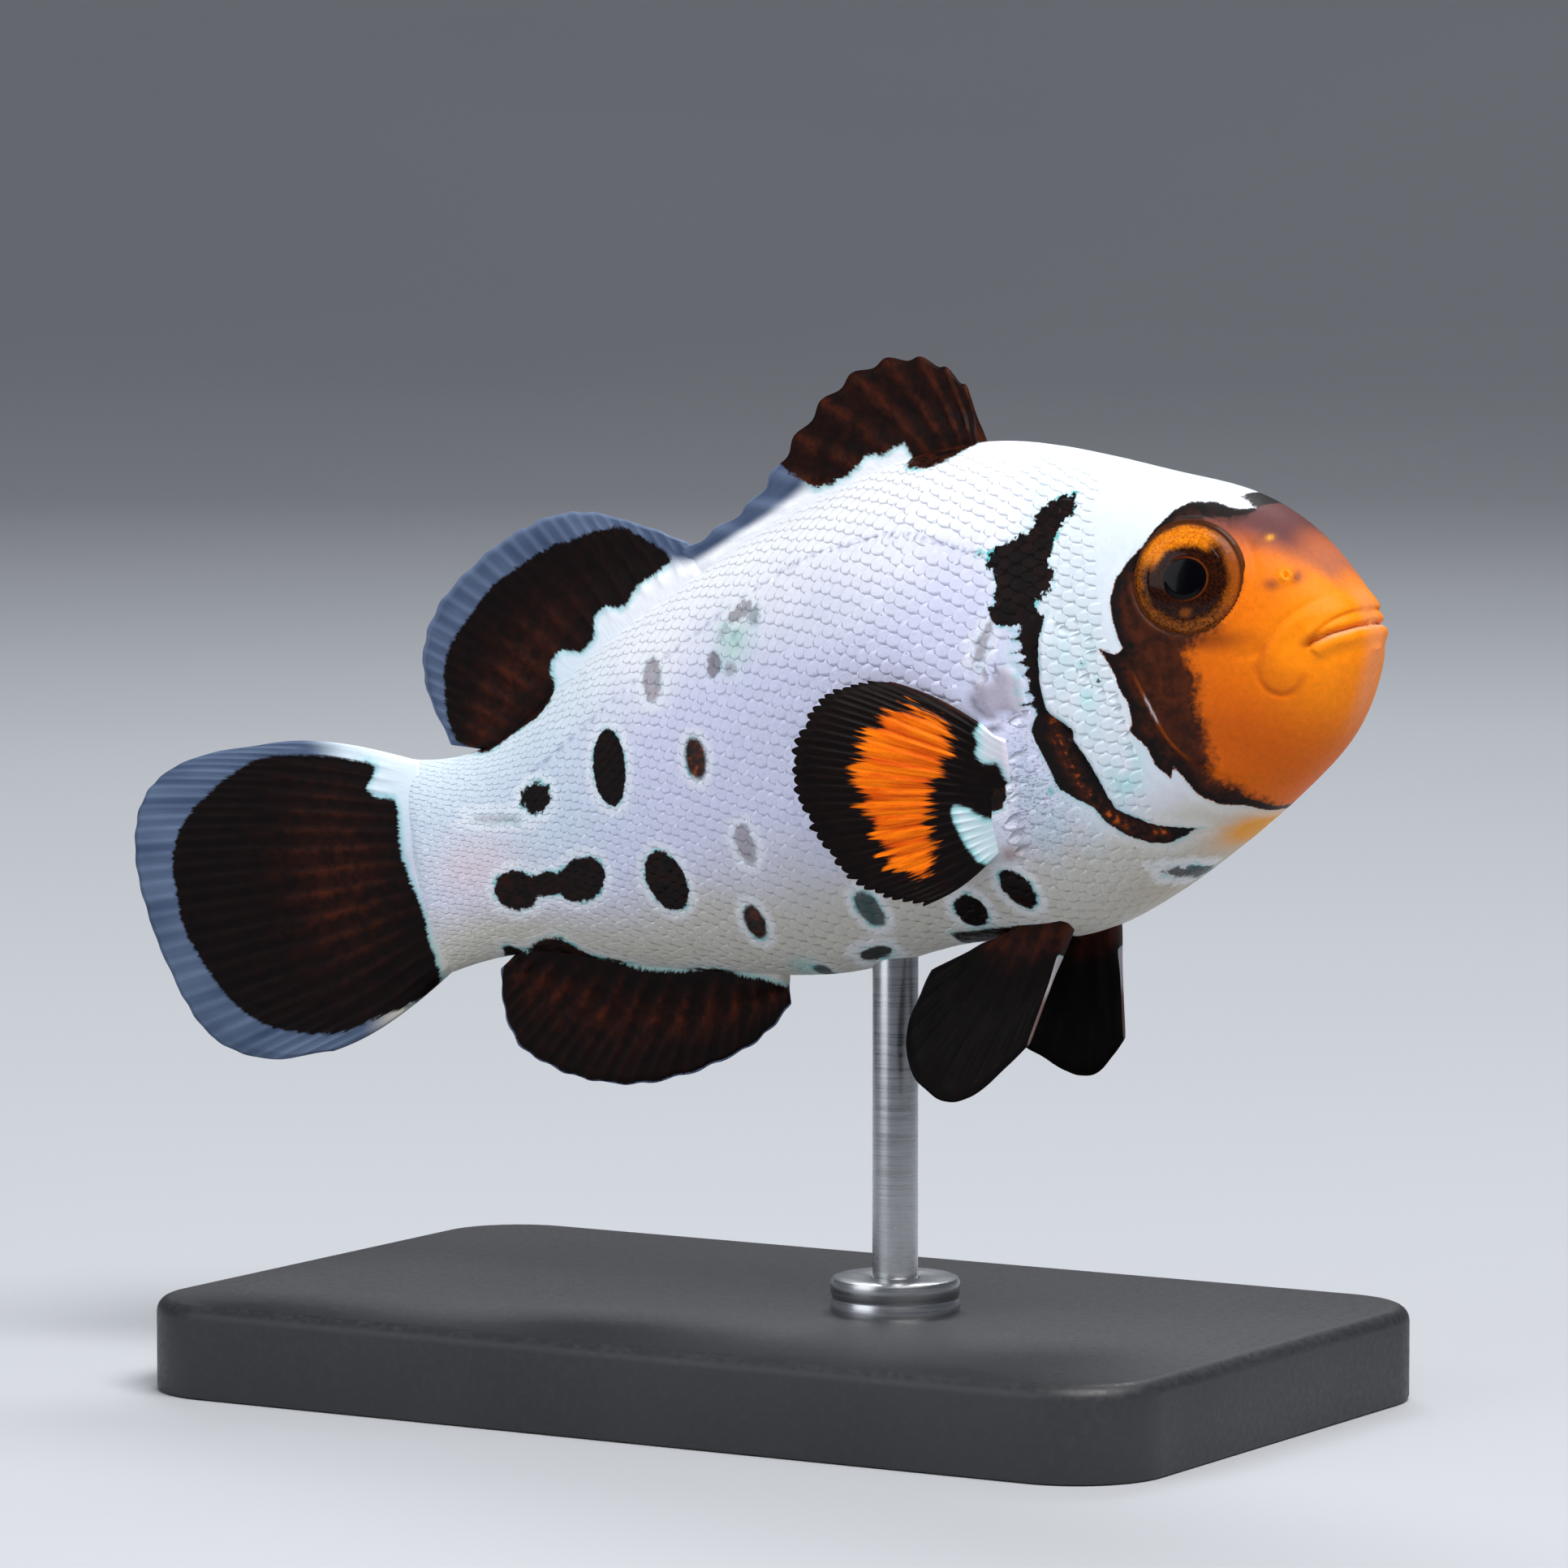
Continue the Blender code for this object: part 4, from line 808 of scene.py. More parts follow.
def skin_relief(rest, base_normals):
    """How far the skin stands out or in from the plain body, in mm."""
    q3 = rest.copy()
    q3[:, 1] = -np.abs(q3[:, 1])
    s, y, z = q3.T
    d = np.zeros(len(rest))
    head = s < 19.5
    h = q3[head]
    dh = np.zeros(len(h))
    hs, hy, hz = h.T

    # mouth and lips
    m = np.array(MOUTH)[::-1]
    line = np.interp(hs, m[:, 0], m[:, 1])
    gap, t = to_path(h, side_path(MOUTH, to_middle=True))
    above = hz > line
    fade = smooth(t, 0.0, 0.12)
    dh += np.where(above, 0.10 * bell(gap - 0.34, 0.24), 0.15 * bell(gap - 0.46, 0.34)) * fade
    dh -= 0.30 * bell(gap, 0.10) * fade
    # the upper lip lies under the edge of the snout's skin
    gap, t = to_path(h, side_path(LIP_FOLD, to_middle=True))
    f = np.array(LIP_FOLD)[::-1]
    over = np.where(hz > np.interp(hs, f[:, 0], f[:, 1]), 1.0, -1.0) * gap
    ends = smooth(t, 0.0, 0.15) * smooth(hs, 2.6, 2.0)
    dh += (0.13 * smooth(over, -0.05, 0.07) * smooth(over, 1.3, 0.2) - 0.05 * bell(over + 0.08, 0.10)) * ends
    # faint dip over the chin
    gap, t = to_path(h, side_path(CHIN_FOLD, to_middle=True))
    dh -= 0.04 * bell(gap, 0.35)
    # folds under the eye and round the jaw's corner
    gap, t = to_path(h, side_path(SUBORBITAL))
    dh -= 0.12 * bell(gap, 0.15) * smooth(t, 0.0, 0.35) * smooth(t, 1.0, 0.72)
    below = hz < np.interp(hs, np.array(SUBORBITAL)[:, 0], np.array(SUBORBITAL)[:, 1])
    dh += 0.09 * bell(gap - 0.40, 0.34) * below * smooth(t, 0.0, 0.35) * smooth(t, 0.85, 0.5)
    gap, t = to_path(h, side_path(JAW_FOLD))
    dh -= 0.11 * bell(gap, 0.14) * smooth(t, 0.0, 0.12) * smooth(t, 1.0, 0.7)
    gap, t = to_path(h, side_path(LIP_CORNER))
    dh -= 0.08 * bell(gap, 0.22) * smooth(t, 1.0, 0.3)
    # soft swellings: the cheek muscle, the jaw bone between its folds
    dh += 0.15 * np.exp(-((hs - 3.55) / 0.75) ** 2 - ((hz + 0.5) / 1.0) ** 2) * (hy < -0.5)
    dh += 0.08 * np.exp(-((hs - 6.9) / 1.6) ** 2 - ((hz + 2.0) / 1.7) ** 2) * (hy < -0.5)
    # cheek plate and gill cover
    gap, t = to_path(h, side_path(PREOPERCLE))
    p = np.array(PREOPERCLE)[::-1]
    front = hs < np.interp(hz, p[:, 1], p[:, 0])
    step = np.where(front, 1.0, -1.0) * gap
    ends = np.sin(math.pi * np.clip(0.06 + 0.9 * t, 0, 1)) ** 0.5
    dh += (0.11 * smooth(step, -0.05, 0.16) * smooth(step, 1.6, 0.2) - 0.09 * bell(step + 0.08, 0.12)) * ends
    gap, t = to_path(h, side_path(GILL_EDGE, 90))
    g = np.array(GILL_EDGE)[::-1]
    cover = inside(h[:, [0, 2]], np.array(list(GILL_EDGE) + [(6.0, -7.0), (6.0, 5.5), (14.5, 5.6)]), 4.0) > 0
    step = np.where(cover, 1.0, -1.0) * gap
    ends = smooth(t, 0.0, 0.08) * smooth(t, 1.0, 0.88)
    dh += (0.16 * smooth(step, -0.05, 0.07) * smooth(step, 3.0, 0.15)) * ends
    dh -= 0.09 * bell(step + 0.12, 0.14) * ends * (step < 0.02)
    # lobed membrane behind its upper part, and the shade under its edge
    lobe = inside(h[:, [0, 2]], rounded(GILL_MEMBRANE, 4), 3.0) + 0.06 * value_noise(h, 2.4, 33)
    on = (hy < -0.5)
    dh += (0.13 * smooth(lobe, -0.04, 0.10) - 0.05 * bell(lobe + 0.14, 0.16)) * on
    # nostril tube and head pores
    for (ps, pz), size, rise, pit in [(NOSTRIL, 0.30, 0.30, 0.42)] + [(p, 0.16, 0.045, 0.085) for p in PORES]:
        at = np.array([ps, -float(side_y(np.array(ps), np.array(pz))), pz])
        r = np.linalg.norm(h - at, axis=1)
        dh += rise * bell(r, size) - (rise + pit) * bell(r, size * 0.46) * 0.8
    # the round of the orbit
    up, ef, eu = eye_frame(h, -1)
    r = np.hypot(ef, eu)
    here = (up > -1.2) & (hy < -0.8)
    dh += np.where(here, 0.10 * bell(r - (ORBIT + 0.20), 0.22) - 0.035 * bell(r - (ORBIT + 0.62), 0.22), 0)
    d[head] += dh

    # lateral line: a dashed groove with pores
    gap, t = to_path(q3, side_path(LATERAL, 90))
    beat = 0.5 + 0.5 * np.cos(2 * math.pi * t * 46)
    d += (s > 17.5) * (0.035 * bell(gap, 0.3) - 0.06 * bell(gap, 0.10) * (0.3 + beat))
    # fleshy root of the breast fin
    (s0, z0), (s1, z1) = PECTORAL_ROOT
    gap, t = to_path(q3, side_path(((s0, z0), ((s0 + s1) / 2 + 0.3, (z0 + z1) / 2), (s1, z1)), 24))
    d += 0.42 * smooth(gap, 1.35, 0.1) * (s < 24)
    # muscle ripples along the flank
    d += 0.012 * value_noise(rest, 0.8, 31) * smooth(s, 2, 8) + 0.006 * value_noise(rest, 2.6, 32) * smooth(s, 1, 6)
    return d


def build_skin():
    st = skin_stations()
    a = np.linspace(0, 2 * math.pi, AROUND, endpoint=False)
    ss, aa = np.meshgrid(st, a, indexing="ij")
    y, z = section(ss.ravel(), aa.ravel())
    s = ss.ravel().copy()
    # past the tail root the body runs out inside the tail fin
    run = np.clip((s - 57.2) / (59.4 - 57.2), 0, 1)
    y = y * (1 - 0.72 * run ** 1.4)
    z = -0.7 + (z + 0.7) * (1 - 0.16 * run ** 1.5)
    points = np.concatenate([np.stack([s, y, z], 1), [(0.0, 0.0, SNOUT_Z), (59.5, 0.0, -0.7)]])
    rings = len(st)
    i = np.arange(AROUND)
    j = (i + 1) % AROUND
    quads = np.concatenate([np.stack([k * AROUND + i, k * AROUND + j, (k + 1) * AROUND + j, (k + 1) * AROUND + i], 1)
                            for k in range(rings - 1)])
    snout, tail = rings * AROUND, rings * AROUND + 1
    caps = np.concatenate([np.stack([np.full(AROUND, snout), j, i], 1),
                           np.stack([np.full(AROUND, tail), (rings - 1) * AROUND + i, (rings - 1) * AROUND + j], 1)])
    tris = np.concatenate([triangles(quads), caps])
    n = normals(points, tris)
    mid = points.copy()
    mid[:, 1] = 0
    if np.einsum("ij,ij->i", n[:rings * AROUND], (points - mid)[:rings * AROUND]).sum() < 0:
        tris = tris[:, ::-1]
        n = -n
    rest = points.copy()
    points = points + n * (skin_relief(rest, n) - SKIN_DEPTH)[:, None]
    points[snout] = points[:AROUND].mean(0)
    points[tail] = points[(rings - 1) * AROUND:rings * AROUND].mean(0)
    # eye sockets: the skin dips under the eyeball
    for sign in (-1, 1):
        up, ef, eu = eye_frame(points, sign)
        r = np.hypot(ef, eu)
        out = eye_axes(sign)[0]
        here = (up > -1.6) & (points[:, 1] * sign > 0.8)
        floor_ = eye_height(np.minimum(r, 3.0)) - 0.30
        share = smooth(r, ORBIT + 0.10, ORBIT - 0.18) * here
        points = points + (np.minimum(floor_ - up, 0.0) * share)[:, None] * out
    obj = new_object("skin", world(points), tris)
    grid = points[:rings * AROUND].reshape(rings, AROUND, 3)
    gn = normals(points, tris)[:rings * AROUND].reshape(rings, AROUND, 3)
    # its own unwrap: length along the fish against the way round, seam under the belly
    length = np.concatenate([[0], np.cumsum(np.linalg.norm(np.diff(grid, axis=0), axis=2).mean(1))])
    length = 0.004 + 0.992 * (length - length[0] + 0.3) / (length[-1] + 0.6)
    f = np.zeros(len(tris) * 3).reshape(-1, 3)
    ring = np.minimum(tris // AROUND, rings - 1)
    col = tris % AROUND
    turn = (col / AROUND + 0.25) % 1.0                       # 0 and 1 under the belly
    pole = tris >= rings * AROUND
    turn = np.where(pole, np.nan, turn)
    span = np.nanmax(turn, axis=1) - np.nanmin(turn, axis=1)
    turn = np.where((span > 0.5)[:, None] & (turn < 0.25), turn + 1.0, turn)
    mean = np.nanmean(turn, axis=1)[:, None]
    turn = np.where(pole, mean, turn)
    lead = np.where(pole, np.where(tris == snout, 0.0, 1.0), length[ring])
    give_uv(obj, np.stack([lead, 0.004 + 0.99 * turn / (1 + 1 / AROUND)], 2).reshape(-1, 2))
    return obj, rest, grid, gn, st


def dress(obj, rest, relief_points=None):
    """Marks and colours on a piece of skin or scales, from its straight-layout places."""
    rest = rest.copy()
    rest[:, 0] = np.maximum(rest[:, 0], 0.12)
    for name, values in marks(rest).items():
        give(obj, name, values)
    q = rest[:, [0, 2]]
    give(obj, "dash", np.clip(blob(q, (18.2, -3.8), (2.0, 3.4)) + 0.30 * blob(q, (27.0, -1.0), (9.0, 9.0))
                              + 0.35 * blob(q, (15.0, -9.0), (5.0, 2.5)), 0, 1))
    give(obj, "rest", rest)
    give_colour(obj, "pale", pale_colour(rest))
    give_colour(obj, "warm", warm_colour(rest))


# ---------------------------------------------------------------- the scales
SCALE_LINES = 40              # lines of scales on each side, back to belly


def surface_sampler(grid, gn, st, rest):
    rings = len(st)
    rest_grid = rest[:rings * AROUND].reshape(rings, AROUND, 3)

    def at(s, angle):
        k = np.interp(s, st, np.arange(rings))
        k0 = np.clip(k.astype(int), 0, rings - 2)
        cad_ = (k - k0)[..., None]
        c = (angle / (2 * math.pi) * AROUND) % AROUND
        c0 = np.floor(c).astype(int) % AROUND
        fc = (c - np.floor(c))[..., None]
        c1 = (c0 + 1) % AROUND

        def mixed(g):
            return ((g[k0, c0] * (1 - fc) + g[k0, c1] * fc) * (1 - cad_)
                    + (g[k0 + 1, c0] * (1 - fc) + g[k0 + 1, c1] * fc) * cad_)
        n = mixed(gn)
        return mixed(grid), n / np.maximum(np.linalg.norm(n, axis=-1, keepdims=True), 1e-9), mixed(rest_grid)
    return at


def girth_table(grid, st, sign):
    """Arc length from the back down one side, ring by ring, against the angle."""
    quarter = AROUND // 4
    if sign < 0:
        cols = (quarter - np.arange(AROUND // 2 + 1)) % AROUND       # top, right side, bottom
    else:
        cols = (quarter + np.arange(AROUND // 2 + 1)) % AROUND
    line = grid[:, cols]
    arc = np.concatenate([np.zeros((len(st), 1)), np.cumsum(np.linalg.norm(np.diff(line, axis=1), axis=2), axis=1)], 1)
    step = np.arange(AROUND // 2 + 1) * 2 * math.pi / AROUND
    angle = math.pi / 2 - step if sign < 0 else math.pi / 2 + step
    return arc, angle


def scale_template():
    """Plate: along (0 front, 1 free edge) x across (-1..1); a closed solid with a rim."""
    na, nb = 6, 5
    a = np.array([-0.35, 0.05, 0.38, 0.66, 0.88, 1.0])
    b = np.linspace(-1, 1, nb)
    half = np.sqrt(np.maximum(1 - np.clip((a - 0.25) / 0.83, 0, 1) ** 2.3, 0.0))
    aa = np.repeat(a, nb)
    bb = (b[None, :] * half[:, None]).ravel()
    # the free edge is a fan: its middle reaches furthest back
    aa = aa - 0.16 * np.repeat(smooth(a, 0.3, 1.0), nb) * np.tile(np.abs(b) ** 2, na)
    lift = np.repeat(np.array([-0.6, 0.0, 0.5, 0.8, 0.96, 1.0]), nb) * (1 - 0.22 * np.tile(np.abs(b) ** 2, na))
    faces = []
    for i in range(na - 1):
        for j in range(nb - 1):
            q = (i * nb + j, i * nb + j + 1, (i + 1) * nb + j + 1, (i + 1) * nb + j)
            faces += [(q[0], q[1], q[2]), (q[0], q[2], q[3])]
    rim = ([j for j in range(nb)] + [i * nb + nb - 1 for i in range(1, na)]
           + [(na - 1) * nb + j for j in range(nb - 2, -1, -1)] + [i * nb for i in range(na - 2, 0, -1)])
    top = na * nb
    under = {v: top + k for k, v in enumerate(rim)}
    for v, w in zip(rim, rim[1:] + rim[:1]):
        faces += [(w, v, under[v]), (w, under[v], under[w])]
    first = under[rim[0]]
    for v, w in zip(rim[1:-1], rim[2:]):
        faces += [(first, under[w], under[v])]
    a_all = np.concatenate([aa, aa[rim]])
    b_all = np.concatenate([bb, bb[rim]])
    lift_all = np.concatenate([lift, np.full(len(rim), -1.2)])
    return a_all, b_all, lift_all, np.array(faces)


def build_scales(side, sampler, grid, st):
    sign = -1 if side == "right" else 1
    arc, angles = girth_table(grid, st, sign)
    total = arc[:, -1]
    full = total.max()
    ta, tb, tl, tf = scale_template()
    rows = []
    s = 9.0
    k = 0
    while s < 57.4:
        girth = np.interp(s, st, total)
        rows.append((s, k))
        s += 0.26 + 0.42 * (girth / full) ** 0.8
        k += 1
    root_s, root_w, size_a, size_b = [], [], [], []
    for s, k in rows:
        girth = np.interp(s, st, total)
        step = 0.26 + 0.42 * (girth / full) ** 0.8
        w = (np.arange(SCALE_LINES) + (0.25 if k % 2 else 0.75)) / SCALE_LINES
        root_s.append(np.full(len(w), s))
        root_w.append(w)
        size_a.append(np.full(len(w), step))
        size_b.append(np.full(len(w), girth / SCALE_LINES))
    root_s, root_w, size_a, size_b = (np.concatenate(v) for v in (root_s, root_w, size_a, size_b))
    root_s = root_s + RNG.uniform(-0.07, 0.07, len(root_s))
    root_w = root_w + RNG.uniform(-0.10, 0.10, len(root_s)) / SCALE_LINES
    small = 0.80 + 0.20 * smooth(root_s, 12.0, 19.0)
    ring = np.clip(np.interp(root_s, st, np.arange(len(st))).round().astype(int), 0, len(st) - 1)

    def angle_at(s_, w_):
        """Angle on the section where a share w of the side's arc is reached."""
        k_ = np.interp(s_, st, np.arange(len(st)))
        k0 = np.clip(k_.astype(int), 0, len(st) - 2)
        out = np.zeros(s_.shape)
        flat_s, flat_w = k0.ravel(), w_.ravel()
        result = np.zeros(len(flat_s))
        for ring_ in np.unique(flat_s):
            sel = flat_s == ring_
            result[sel] = np.interp(flat_w[sel] * total[ring_], arc[ring_], angles)
        return result.reshape(out.shape)

    # where scales grow: the trunk, stalk, gill cover and rear of the cheek
    mid_angle = angle_at(root_s, root_w)
    at, normal, rest_at = sampler(root_s, mid_angle)
    q = rest_at[:, [0, 2]]
    keep = np.ones(len(root_s), bool)
    keep &= rest_at[:, 0] > 11.6 + 0.0 * root_s
    up, ef, eu = eye_frame(rest_at, sign)
    keep &= ~((np.hypot(ef, eu) < 4.4) & (up > -2))
    flank = rest_at.copy()
    flank[:, 1] = -np.abs(flank[:, 1])
    gap, _ = to_path(flank, side_path(GILL_EDGE, 60))
    keep &= gap > 0.35
    keep &= inside(flank[:, [0, 2]], band_outline(side), 3.0) < -0.30
    keep &= inside(flank[:, [0, 2]], rounded(GILL_MEMBRANE, 4), 3.0) < -0.25
    gap, _ = to_path(flank, side_path(LATERAL, 60))
    keep &= ~((gap < 0.16) & (rest_at[:, 0] > 18))
    (s0, z0), (s1, z1) = PECTORAL_ROOT
    gap, _ = to_path(flank, side_path(((s0, z0), ((s0 + s1) / 2 + 0.3, (z0 + z1) / 2), (s1, z1)), 24))
    keep &= gap > 1.5
    keep &= (root_w > 0.012) & (root_w < 0.985)
    root_s, root_w, size_a, size_b, small = (v[keep] for v in (root_s, root_w, size_a, size_b, small))
    count = len(root_s)
    tone = RNG.uniform(-1, 1, count)
    tilt = RNG.normal(0, 0.05, count)
    reach = size_a * (1.50 + RNG.uniform(-0.08, 0.08, count)) * small
    half = size_b * 0.60 * (1 + RNG.uniform(-0.05, 0.05, count)) * small
    breast = np.exp(-((rest_at[keep, 0] - 19.5) / 4.0) ** 2 - ((rest_at[keep, 2] + 3.5) / 4.5) ** 2)
    lift = (0.009 + 0.003 * RNG.uniform(0, 1, count) + 0.007 * breast) * (0.42 + 0.58 * smooth(root_s, 14, 24))
    a = ta[None, :] * reach[:, None]
    b = tb[None, :] * half[:, None]
    s_v = root_s[:, None] + a
    girth = np.interp(s_v, st, total)
    w_v = root_w[:, None] + (b + tilt[:, None] * a) / girth
    w_v = np.clip(w_v, 0.0005, 0.9995)
    s_v = np.clip(s_v, 8.0, 59.0)
    angle = angle_at(s_v, w_v)
    base, normal, rest_v = sampler(s_v, angle)
    h = tl[None, :] * lift[:, None]
    points = base + normal * h[..., None]
    per = len(ta)
    pieces = []
    order = np.argsort(root_s, kind="stable")
    cuts = np.array_split(order, 2)
    for part, chosen in zip(("fore", "rear"), cuts):
        m = len(chosen)
        pts = points[chosen].reshape(-1, 3)
        rst = rest_v[chosen].reshape(-1, 3)
        tris = (tf[None] + (np.arange(m) * per)[:, None, None]).reshape(-1, 3)
        probe = normals(pts, tris)
        facing = np.einsum("ij,ij->i", probe, normal[chosen].reshape(-1, 3))
        if facing.reshape(m, per)[:, 12].sum() < 0:
            tris = tris[:, ::-1]
        obj = new_object(f"scales_{side}_{part}", world(pts), tris)
        dress(obj, rst)
        give(obj, "tone", np.repeat(tone[chosen], per))
        give(obj, "rim", np.tile(smooth(ta, 0.6, 1.0), m))
        # unwrap: a small patch for each scale at its root, length along the fish against arc
        u0, u1 = root_s[chosen].min() - 0.5, root_s[chosen].max() + 1.5
        u = 0.01 + 0.98 * (root_s[chosen] - u0) / (u1 - u0)
        v = 0.01 + 0.98 * root_w[chosen]
        fu = (ta[None, :] - 0.3) * 0.0022 + u[:, None]
        fv = tb[None, :] * 0.0015 + v[:, None]
        # the underside takes the same places as the top's rim within the patch
        uv = np.stack([fu, fv], 2).reshape(-1, 2)
        give_uv(obj, uv[loop_vertices(obj)])
        pieces.append(obj)
    return pieces


# ------------------------------------------------------------------ the fins
def fin_grid(rooted, tipped, rays, per_ray, steps, deep, root_half, edge_half, ridge, notch=0.0, branch=True,
             bow=0.0, lift=None, teeth=1, seed=1, fray=0.0, trim=0.0):
    """Both faces of a fin as a closed mesh.

    rooted and tipped give points for shares 0..1 across; the sheet starts a
    little inside the body (deep, share of the ray) and thins outward; rays
    stand as ridges that part toward the edge, and their tips pass the web.
    """
    across = (rays - 1) * per_ray + 1
    u = np.linspace(0, 1, across)
    v = np.concatenate([np.linspace(-deep, 0.0, 4)[:-1], np.linspace(0, 1, steps) ** 0.9])
    a, b = rooted(u), tipped(u)
    length = np.linalg.norm(b - a, axis=1)
    phase = u * (rays - 1)
    crest = 0.5 + 0.5 * np.cos(2 * math.pi * phase)
    stem = crest.copy()
    wave = value_noise(np.stack([phase * 0.9, np.zeros(across)], 1), 1.0, seed)
    jag = value_noise(np.stack([phase * 3.1, np.zeros(across)], 1), 1.0, seed + 3)
    if teeth > 1:
        crest = 0.3 * crest + 0.7 * np.abs(np.cos(math.pi * teeth * phase)) ** 0.8
    stretch = 1 + (notch * (crest - 1.0) + fray * (0.5 * wave + 0.5 * jag)) / np.maximum(length, 1e-6)
    stretch = stretch - trim * (smooth(u, 0.90, 1.0) ** 2 + smooth(u, 0.10, 0.0) ** 2)
    vv = v[None, :] * np.where(v[None, :] > 0.6, 1 + (stretch[:, None] - 1) * (v[None, :] - 0.6) / 0.4, 1.0)
    mid = a[:, None, :] * (1 - vv[..., None]) + b[:, None, :] * vv[..., None]
    if bow:
        mid[..., 2] += np.sin(math.pi * np.clip(v, 0, 1))[None, :] * bow * (1 - 2 * u)[:, None]
    if lift is not None:
        mid[..., 1] += lift(u[:, None], np.clip(vv, 0, 1.2))
    du, dv = np.gradient(mid, axis=0), np.gradient(mid, axis=1)
    n = np.cross(du, dv)
    n /= np.maximum(np.linalg.norm(n, axis=2, keepdims=True), 1e-9)
    one = stem ** 2.2
    two = (0.5 + 0.5 * np.cos(4 * math.pi * phase + math.pi)) ** 2.0
    split = smooth(v, 0.42, 0.72)[None, :] if branch else np.zeros((1, len(v)))
    relief = one[:, None] * (1 - 0.75 * split) + two[:, None] * 0.8 * split
    joints = 1.0 + (0.25 * np.cos(2 * math.pi * v * 26) * smooth(v, 0.3, 0.5))[None, :] if branch else 1.0
    grow = smooth(v, -0.02, 0.10) * (1 - 0.55 * smooth(v, 0.75, 1.0))
    rh = root_half(u)[:, None] if callable(root_half) else root_half
    fall = (1 - smooth(v, -0.02, 0.5))[None, :]
    half = edge_half + (rh - edge_half) * fall + ridge * relief * (grow * smooth(v, 0.02, 0.20))[None, :] * joints
    half = half * (1 - 0.75 * smooth(v, 0.93, 1.0))[None, :]
    rim = np.minimum(np.minimum(u, 1 - u) * (rays - 1) / 0.35, 1.0)
    half = half * (0.35 + 0.65 * np.sqrt(np.clip(rim, 0, 1)))[:, None]
    front, rear = mid + half[..., None] * n, mid - half[..., None] * n
    points = np.concatenate([front.reshape(-1, 3), rear.reshape(-1, 3)])
    na, nv = across, len(v)
    size = na * nv
    i, j = np.meshgrid(np.arange(na - 1), np.arange(nv - 1), indexing="ij")
    q = np.stack([i * nv + j, (i + 1) * nv + j, (i + 1) * nv + j + 1, i * nv + j + 1], -1).reshape(-1, 4)
    faces = [triangles(q), triangles(q[:, ::-1] + size)]
    ring = ([(k, 0) for k in range(na)] + [(na - 1, k) for k in range(1, nv)]
            + [(k, nv - 1) for k in range(na - 2, -1, -1)] + [(0, k) for k in range(nv - 2, 0, -1)])
    ids = np.array([x * nv + y for x, y in ring])
    nxt = np.roll(ids, -1)
    faces.append(np.concatenate([np.stack([nxt, ids, ids + size], 1), np.stack([nxt, ids + size, nxt + size], 1)]))
    tris = np.concatenate(faces)
    lu, lv = np.repeat(u, nv), np.tile(v, na)
    edge = (1 - lv) * np.repeat(length, nv)
    sides = np.minimum(lu, 1 - lu) * (rays - 1)
    info = {
        "ray": np.tile(np.repeat(phase, nv), 2), "out": np.tile(lv, 2), "web": np.tile(relief.ravel(), 2),
        "edge": np.tile(edge, 2), "length": np.tile(np.repeat(length, nv), 2), "sides": np.tile(sides, 2),
    }
    uv = np.stack([0.01 + 0.98 * lu, 0.01 + 0.47 * (lv + deep) / (1 + deep)], 1)
    uv = np.concatenate([uv, uv + [0, 0.50]])
    return points, tris, info, uv, mid


def add_fin(name, got, replaced, extra):
    points, tris, info, uv, _ = got
    w = world(points)
    n = normals(w, tris)
    c = w.mean(0)
    vol = np.einsum("ij,ij->i", w[tris[:, 0]] - c, np.cross(w[tris[:, 1]] - c, w[tris[:, 2]] - c)).sum()
    if vol < 0:
        tris = tris[:, ::-1]
    obj = new_object(name, w, tris)
    for key, values in info.items():
        give(obj, key, values)
    give(obj, "rest", points)
    for key, values in extra(points, info).items():
        (give_colour if np.ndim(values) == 2 else give)(obj, key, values)
    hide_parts(replaced)
    return obj


def median_extra(points, info):
    """Colours of a fin in the middle plane: the body's marks run out onto it."""
    m = marks(points)
    s, _, z = points.T
    veil = smooth(info["edge"], 3.6, 1.9) * smooth(info["out"], 0.12, 0.55)
    pale = pale_colour(np.stack([s, points[:, 1], np.clip(z, belly_line(s), back_line(s))], 1))
    slate = np.array(linear(54, 70, 98))
    light = np.array(linear(124, 140, 170))
    n = value_noise(np.stack([info["ray"], info["out"] * 6], 1), 1.0, 44)
    tint = slate + (light - slate) * np.clip(0.25 + 0.5 * info["web"] + 0.25 * n, 0, 1)[:, None] * 0.6
    tint = tint + (light - tint) * (smooth(info["edge"], 0.28, 0.05) * 0.6)[:, None]
    colour = pale * (1 - veil[:, None]) + tint * veil[:, None]
    return {"ink": m["ink"], "rag": m["rag"], "soft": m["soft"] + 0.04, "rust": m["rust"], "pale": colour,
            "strength": np.ones(len(points)), "veil": veil, "fringe": 0.5 * (1 - veil)}


